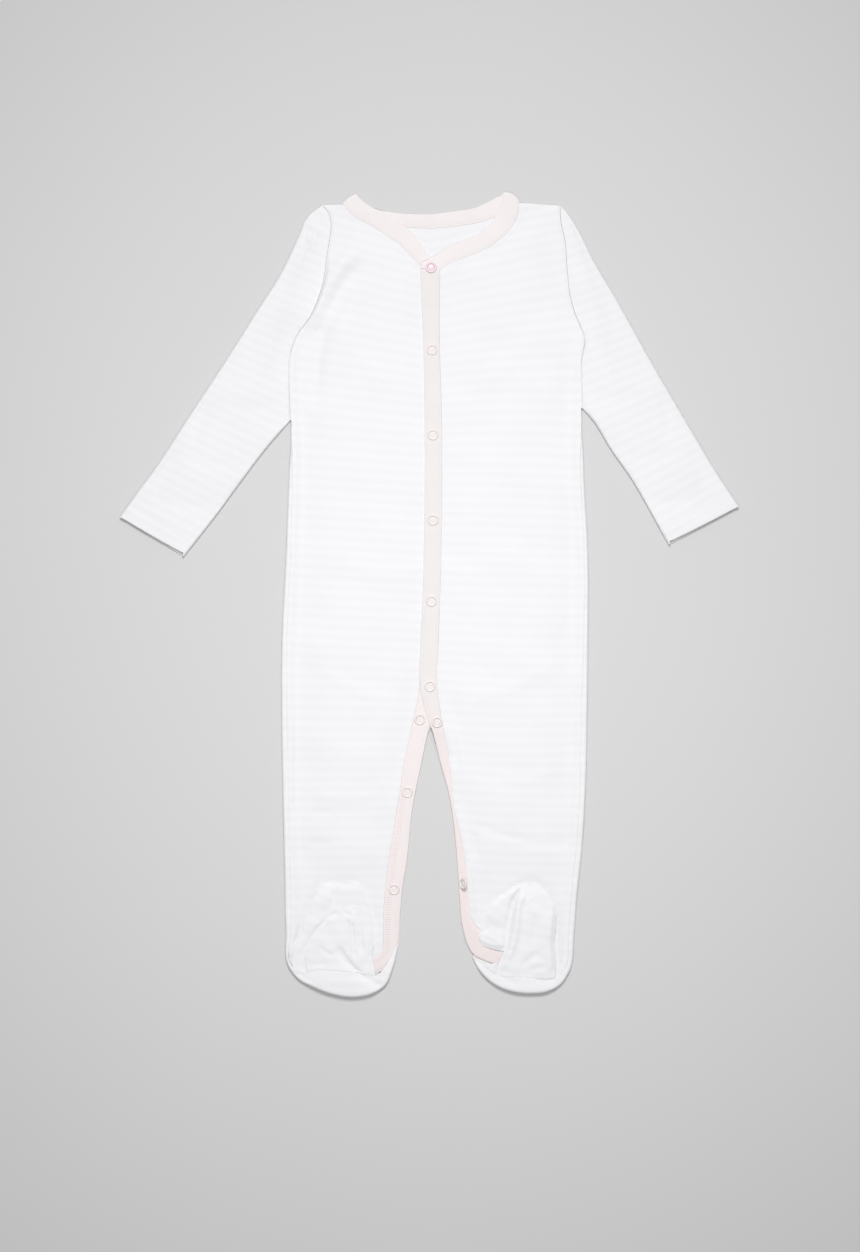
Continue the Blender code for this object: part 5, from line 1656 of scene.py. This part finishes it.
class SLEEPSUIT_OT_fronts(Operator):
    """Both fronts, each with its leg"""
    bl_idname = "sleepsuit.add_fronts"
    bl_label = "Fronts"

    def execute(self, context):
        for side in HAND:
            grid = front_patch(side)
            piece = cloth(f"front_panel_{side}", [(grid, body_cut(grid))], CLOTH_WALL,
                          [knit_finish(context.scene)], soft=SEWN_RIM)
            hand_in(piece, "striped_knit", f"front_{side}")
        return {"FINISHED"}


class SLEEPSUIT_OT_sleeves(Operator):
    """Both sleeves, each a flattened tube"""
    bl_idname = "sleepsuit.add_sleeves"
    bl_label = "Sleeves"

    def execute(self, context):
        for side in HAND:
            ring = sleeve_patch(side)
            piece = cloth(f"sleeve_tube_{side}", [(ring, sleeve_cut(ring, side))], CLOTH_WALL,
                          [knit_finish(context.scene)], flip=side == "left", soft=SEWN_RIM)
            hand_in(piece, "striped_knit", f"sleeve_{side}")
        return {"FINISHED"}


class SLEEPSUIT_OT_neck_binding(Operator):
    """Binding round the neck, with its topstitching"""
    bl_idname = "sleepsuit.add_neck_binding"
    bl_label = "Neck binding"

    def execute(self, context):
        scene = context.scene
        grid = neck_grid()
        cut = strip_cut(grid)
        # Rows in front, and round the fold at a shoulder. Between the folds the strip lies low inside the
        # neck and takes a deeper tone there: painted shade
        right = FINE // 2 + NECK_STEPS * FINE
        left = NECK_STEPS * FINE + len(NECK_OVER_END) * STRIP_END_ROWS
        turn = len(SHOULDER_TURN)
        start, end = cut[right + turn + 2, 0, 1], cut[-left - turn - 4, 0, 1]
        finishes = [binding_finish(scene, "cotton_neck_binding", "neck"),
                    binding_finish(scene, "cotton_binding_inside", "inside")]
        piece = cloth("neck_strip", [(grid, cut)], BINDING_WALL, finishes, soft=BINDING_RIM,
                      choose=lambda place: (place[:, 1] > start) & (place[:, 1] < end))
        hand_in(piece, "binding_knit", "neck_binding")
        line = stitch_path(grid, NECK_STITCH_LINE)
        rows = [line[FINE // 2:right], line[right + turn + 1:-left - turn - 1], line[2 - left:]]
        seam = topstitching("neck_stitches", rows, scene.sleepsuit_binding.pitch)
        hand_in(seam, "binding_knit")
        return {"FINISHED"}


class SLEEPSUIT_OT_front_bindings(Operator):
    """Bindings of both front edges and inner legs, with their topstitching"""
    bl_idname = "sleepsuit.add_front_bindings"
    bl_label = "Front bindings"

    def execute(self, context):
        scene = context.scene
        tones = scene.sleepsuit_binding
        legs = (ARM_STEPS - NECK_STEPS + TRUNK_STEPS) * FINE
        # The last of each is the rows that show their topstitching
        for name, grid, node_name, rows in (
                ("under_strip", under_grid(), "binding_under", slice(legs - 4, None)),
                ("over_strip", over_grid(), "binding_over", slice(0, legs))):
            cut = strip_cut(grid)
            crotch = cut[legs, 0, 1] * MM
            if name == "under_strip":
                finish = binding_finish(scene, "cotton_binding_under", "under")
            else:
                # Along the left leg its tone turns to the leg binding's pinker one: painted shade where it
                # curls under
                finish = binding_finish(scene, "cotton_binding_over", "chest", tones.leg,
                                        (crotch - 0.012, crotch + 0.03))
            piece = cloth(name, [(grid, cut)], BINDING_WALL, [finish], soft=BINDING_RIM)
            hand_in(piece, "binding_knit", node_name)
            lines = [stitch_path(grid[rows], STITCH_LINE, from_seam) for from_seam in (True, False)]
            seam = topstitching(f"{name}_stitches", lines, tones.pitch)
            hand_in(seam, "binding_knit")
            inner, outer = (stitch_path(grid[legs + 3 * FINE:], distance) for distance in LADDER[name])
            # The under strip's ladder thread is darker: painted shade round its threads
            ladder = ladder_stitches(f"{name}_ladder", inner, outer, thread_finish(LADDER_THREAD[name]))
            hand_in(ladder, "binding_knit")
        return {"FINISHED"}


class SLEEPSUIT_OT_back_binding(Operator):
    """Binding of the back's inner legs"""
    bl_idname = "sleepsuit.add_back_binding"
    bl_label = "Back binding"

    def execute(self, context):
        grid = back_binding_grid()
        piece = cloth("back_leg_strip", [(grid, strip_cut(grid))], BINDING_WALL,
                      [binding_finish(context.scene, "cotton_leg_binding", "leg")],
                      flip=True, soft=BINDING_RIM)
        hand_in(piece, "binding_knit", "binding_back")
        return {"FINISHED"}


class SLEEPSUIT_OT_feet(Operator):
    """Uppers and soles of both feet"""
    bl_idname = "sleepsuit.add_feet"
    bl_label = "Feet"

    def execute(self, context):
        finish = knit_finish(context.scene)
        for side in HAND:
            grid, walls = sole_patch(side)
            sole = cloth(f"sole_{side}", [(grid, foot_cut(grid, side))], [walls], [finish],
                         flip=side == "right", soft=SEWN_RIM)
            hand_in(sole, "striped_knit", f"foot_sole_{side}")
            grid, walls = upper_patch(side)
            upper = cloth(f"upper_{side}", [(grid, foot_cut(grid, side, UPPER_TURN))], [walls], [finish],
                          flip=side == "right")
            hand_in(upper, "striped_knit", f"foot_upper_{side}")
        return {"FINISHED"}


class SLEEPSUIT_OT_snaps(Operator):
    """Eleven ring snaps"""
    bl_idname = "sleepsuit.add_snaps"
    bl_label = "Snaps"

    def execute(self, context):
        scene = context.scene
        settings = scene.sleepsuit_snaps
        enamel = found(baked_enamel, "baked_enamel_on_brass", settings.enamel)
        top = found(baked_enamel, "baked_enamel_on_brass_top", settings.top)
        knit = binding_finish(scene, "cotton_binding", "chest")
        for snap in SNAPS:
            make_snap(snap, settings.radius, top if snap is SNAPS[0] else enamel, knit)
        return {"FINISHED"}


VIEW_HEIGHT = 1.077  # of floor that the camera takes in, m
VIEW_CENTRE = (0.0004, -0.0267)
SENSOR = 36.0  # the long side, mm
CLIP_END = 50  # m
FLOOR_SIZE = 40.0  # m
FLOOR_DROP = 0.2  # from the cloth's underside to the paper, mm
# Soft square lights: where each is, what it faces and how wide it shines, in m and degrees
Lamp = namedtuple("Lamp", "name place target spread")
LAMPS = (Lamp("key", (0.01, 0.9, 1.7), (0.004, -0.15, 0), 90),
         Lamp("overhead", (0.0, -0.2, 0.8), (0.0, -0.201, 0), 180))
LAMP_SIZE = 0.5


def add_light(lamp, power):
    """A soft square light that the camera doesn't see."""
    light = bpy.data.lights.new(lamp.name, "AREA")
    light.shape = "SQUARE"
    light.size = LAMP_SIZE
    light.energy = power
    light.spread = radians(lamp.spread)
    placed = bpy.data.objects.new(lamp.name, light)
    placed.location = lamp.place
    placed.visible_camera = False
    placed.rotation_euler = (Vector(lamp.target) - Vector(lamp.place)).to_track_quat("-Z", "Y").to_euler()
    bpy.context.scene.collection.objects.link(placed)


class SLEEPSUIT_OT_stage(Operator):
    """Paper backdrop, soft light and a camera straight above"""
    bl_idname = "sleepsuit.add_stage"
    bl_label = "Stage"

    def execute(self, context):
        scene = context.scene
        stage = scene.sleepsuit_stage
        half = FLOOR_SIZE / 2 / MM
        corners = np.array([(x * half, y * half, -FLOOR_DROP)
                            for x, y in ((-1, -1), (1, -1), (1, 1), (-1, 1))])
        floor = mesh_object("backdrop", corners, np.array([[0, 1, 2, 3]]), None, [paper_sweep(stage.paper)])
        for lamp in LAMPS:
            add_light(lamp, getattr(stage, lamp.name))
        world = bpy.data.worlds.new("soft_room")
        world.use_nodes = True
        sky = world.node_tree.nodes["Background"]
        set_inputs(world.node_tree, sky, {"Color": (1.0, 1.0, 1.0, 1), "Strength": stage.fill})
        scene.world = world
        lens = bpy.data.cameras.new("camera")
        lens.sensor_width = SENSOR
        lens.lens = SENSOR * stage.height / VIEW_HEIGHT
        lens.clip_end = CLIP_END
        camera = bpy.data.objects.new("camera", lens)
        camera.location = (*VIEW_CENTRE, stage.height)
        scene.collection.objects.link(camera)
        scene.camera = camera
        scene.view_settings.view_transform = "Standard"
        return {"FINISHED"}


class SLEEPSUIT_PT_panel(Panel):
    """Sizes, colours and pieces of the sleepsuit"""
    bl_idname = "SLEEPSUIT_PT_panel"
    bl_label = "Sleepsuit"
    bl_space_type = "VIEW_3D"
    bl_region_type = "UI"
    bl_category = "Sleepsuit"

    def draw(self, context):
        for name in SETTINGS:
            box = self.layout.box()
            for key in getattr(context.scene, name).__annotations__:
                box.prop(getattr(context.scene, name), key)
        for operator in OPERATORS:
            self.layout.operator(operator.bl_idname)


SETTINGS = {"sleepsuit_knit": KnitSettings, "sleepsuit_binding": BindingSettings,
            "sleepsuit_snaps": SnapSettings, "sleepsuit_stage": StageSettings}
OPERATORS = (SLEEPSUIT_OT_stage, SLEEPSUIT_OT_back, SLEEPSUIT_OT_fronts, SLEEPSUIT_OT_sleeves,
             SLEEPSUIT_OT_neck_binding, SLEEPSUIT_OT_front_bindings, SLEEPSUIT_OT_back_binding,
             SLEEPSUIT_OT_feet, SLEEPSUIT_OT_snaps)


def register():
    for item in (*SETTINGS.values(), *OPERATORS, SLEEPSUIT_PT_panel):
        bpy.utils.register_class(item)
    for name, settings in SETTINGS.items():
        setattr(bpy.types.Scene, name, PointerProperty(type=settings))


def unregister():
    for name in SETTINGS:
        delattr(bpy.types.Scene, name)
    for item in reversed((*SETTINGS.values(), *OPERATORS, SLEEPSUIT_PT_panel)):
        bpy.utils.unregister_class(item)


def main():
    register()
    for operator in OPERATORS:
        group, name = operator.bl_idname.split(".")
        getattr(getattr(bpy.ops, group), name)()


if __name__ == "__main__":
    main()
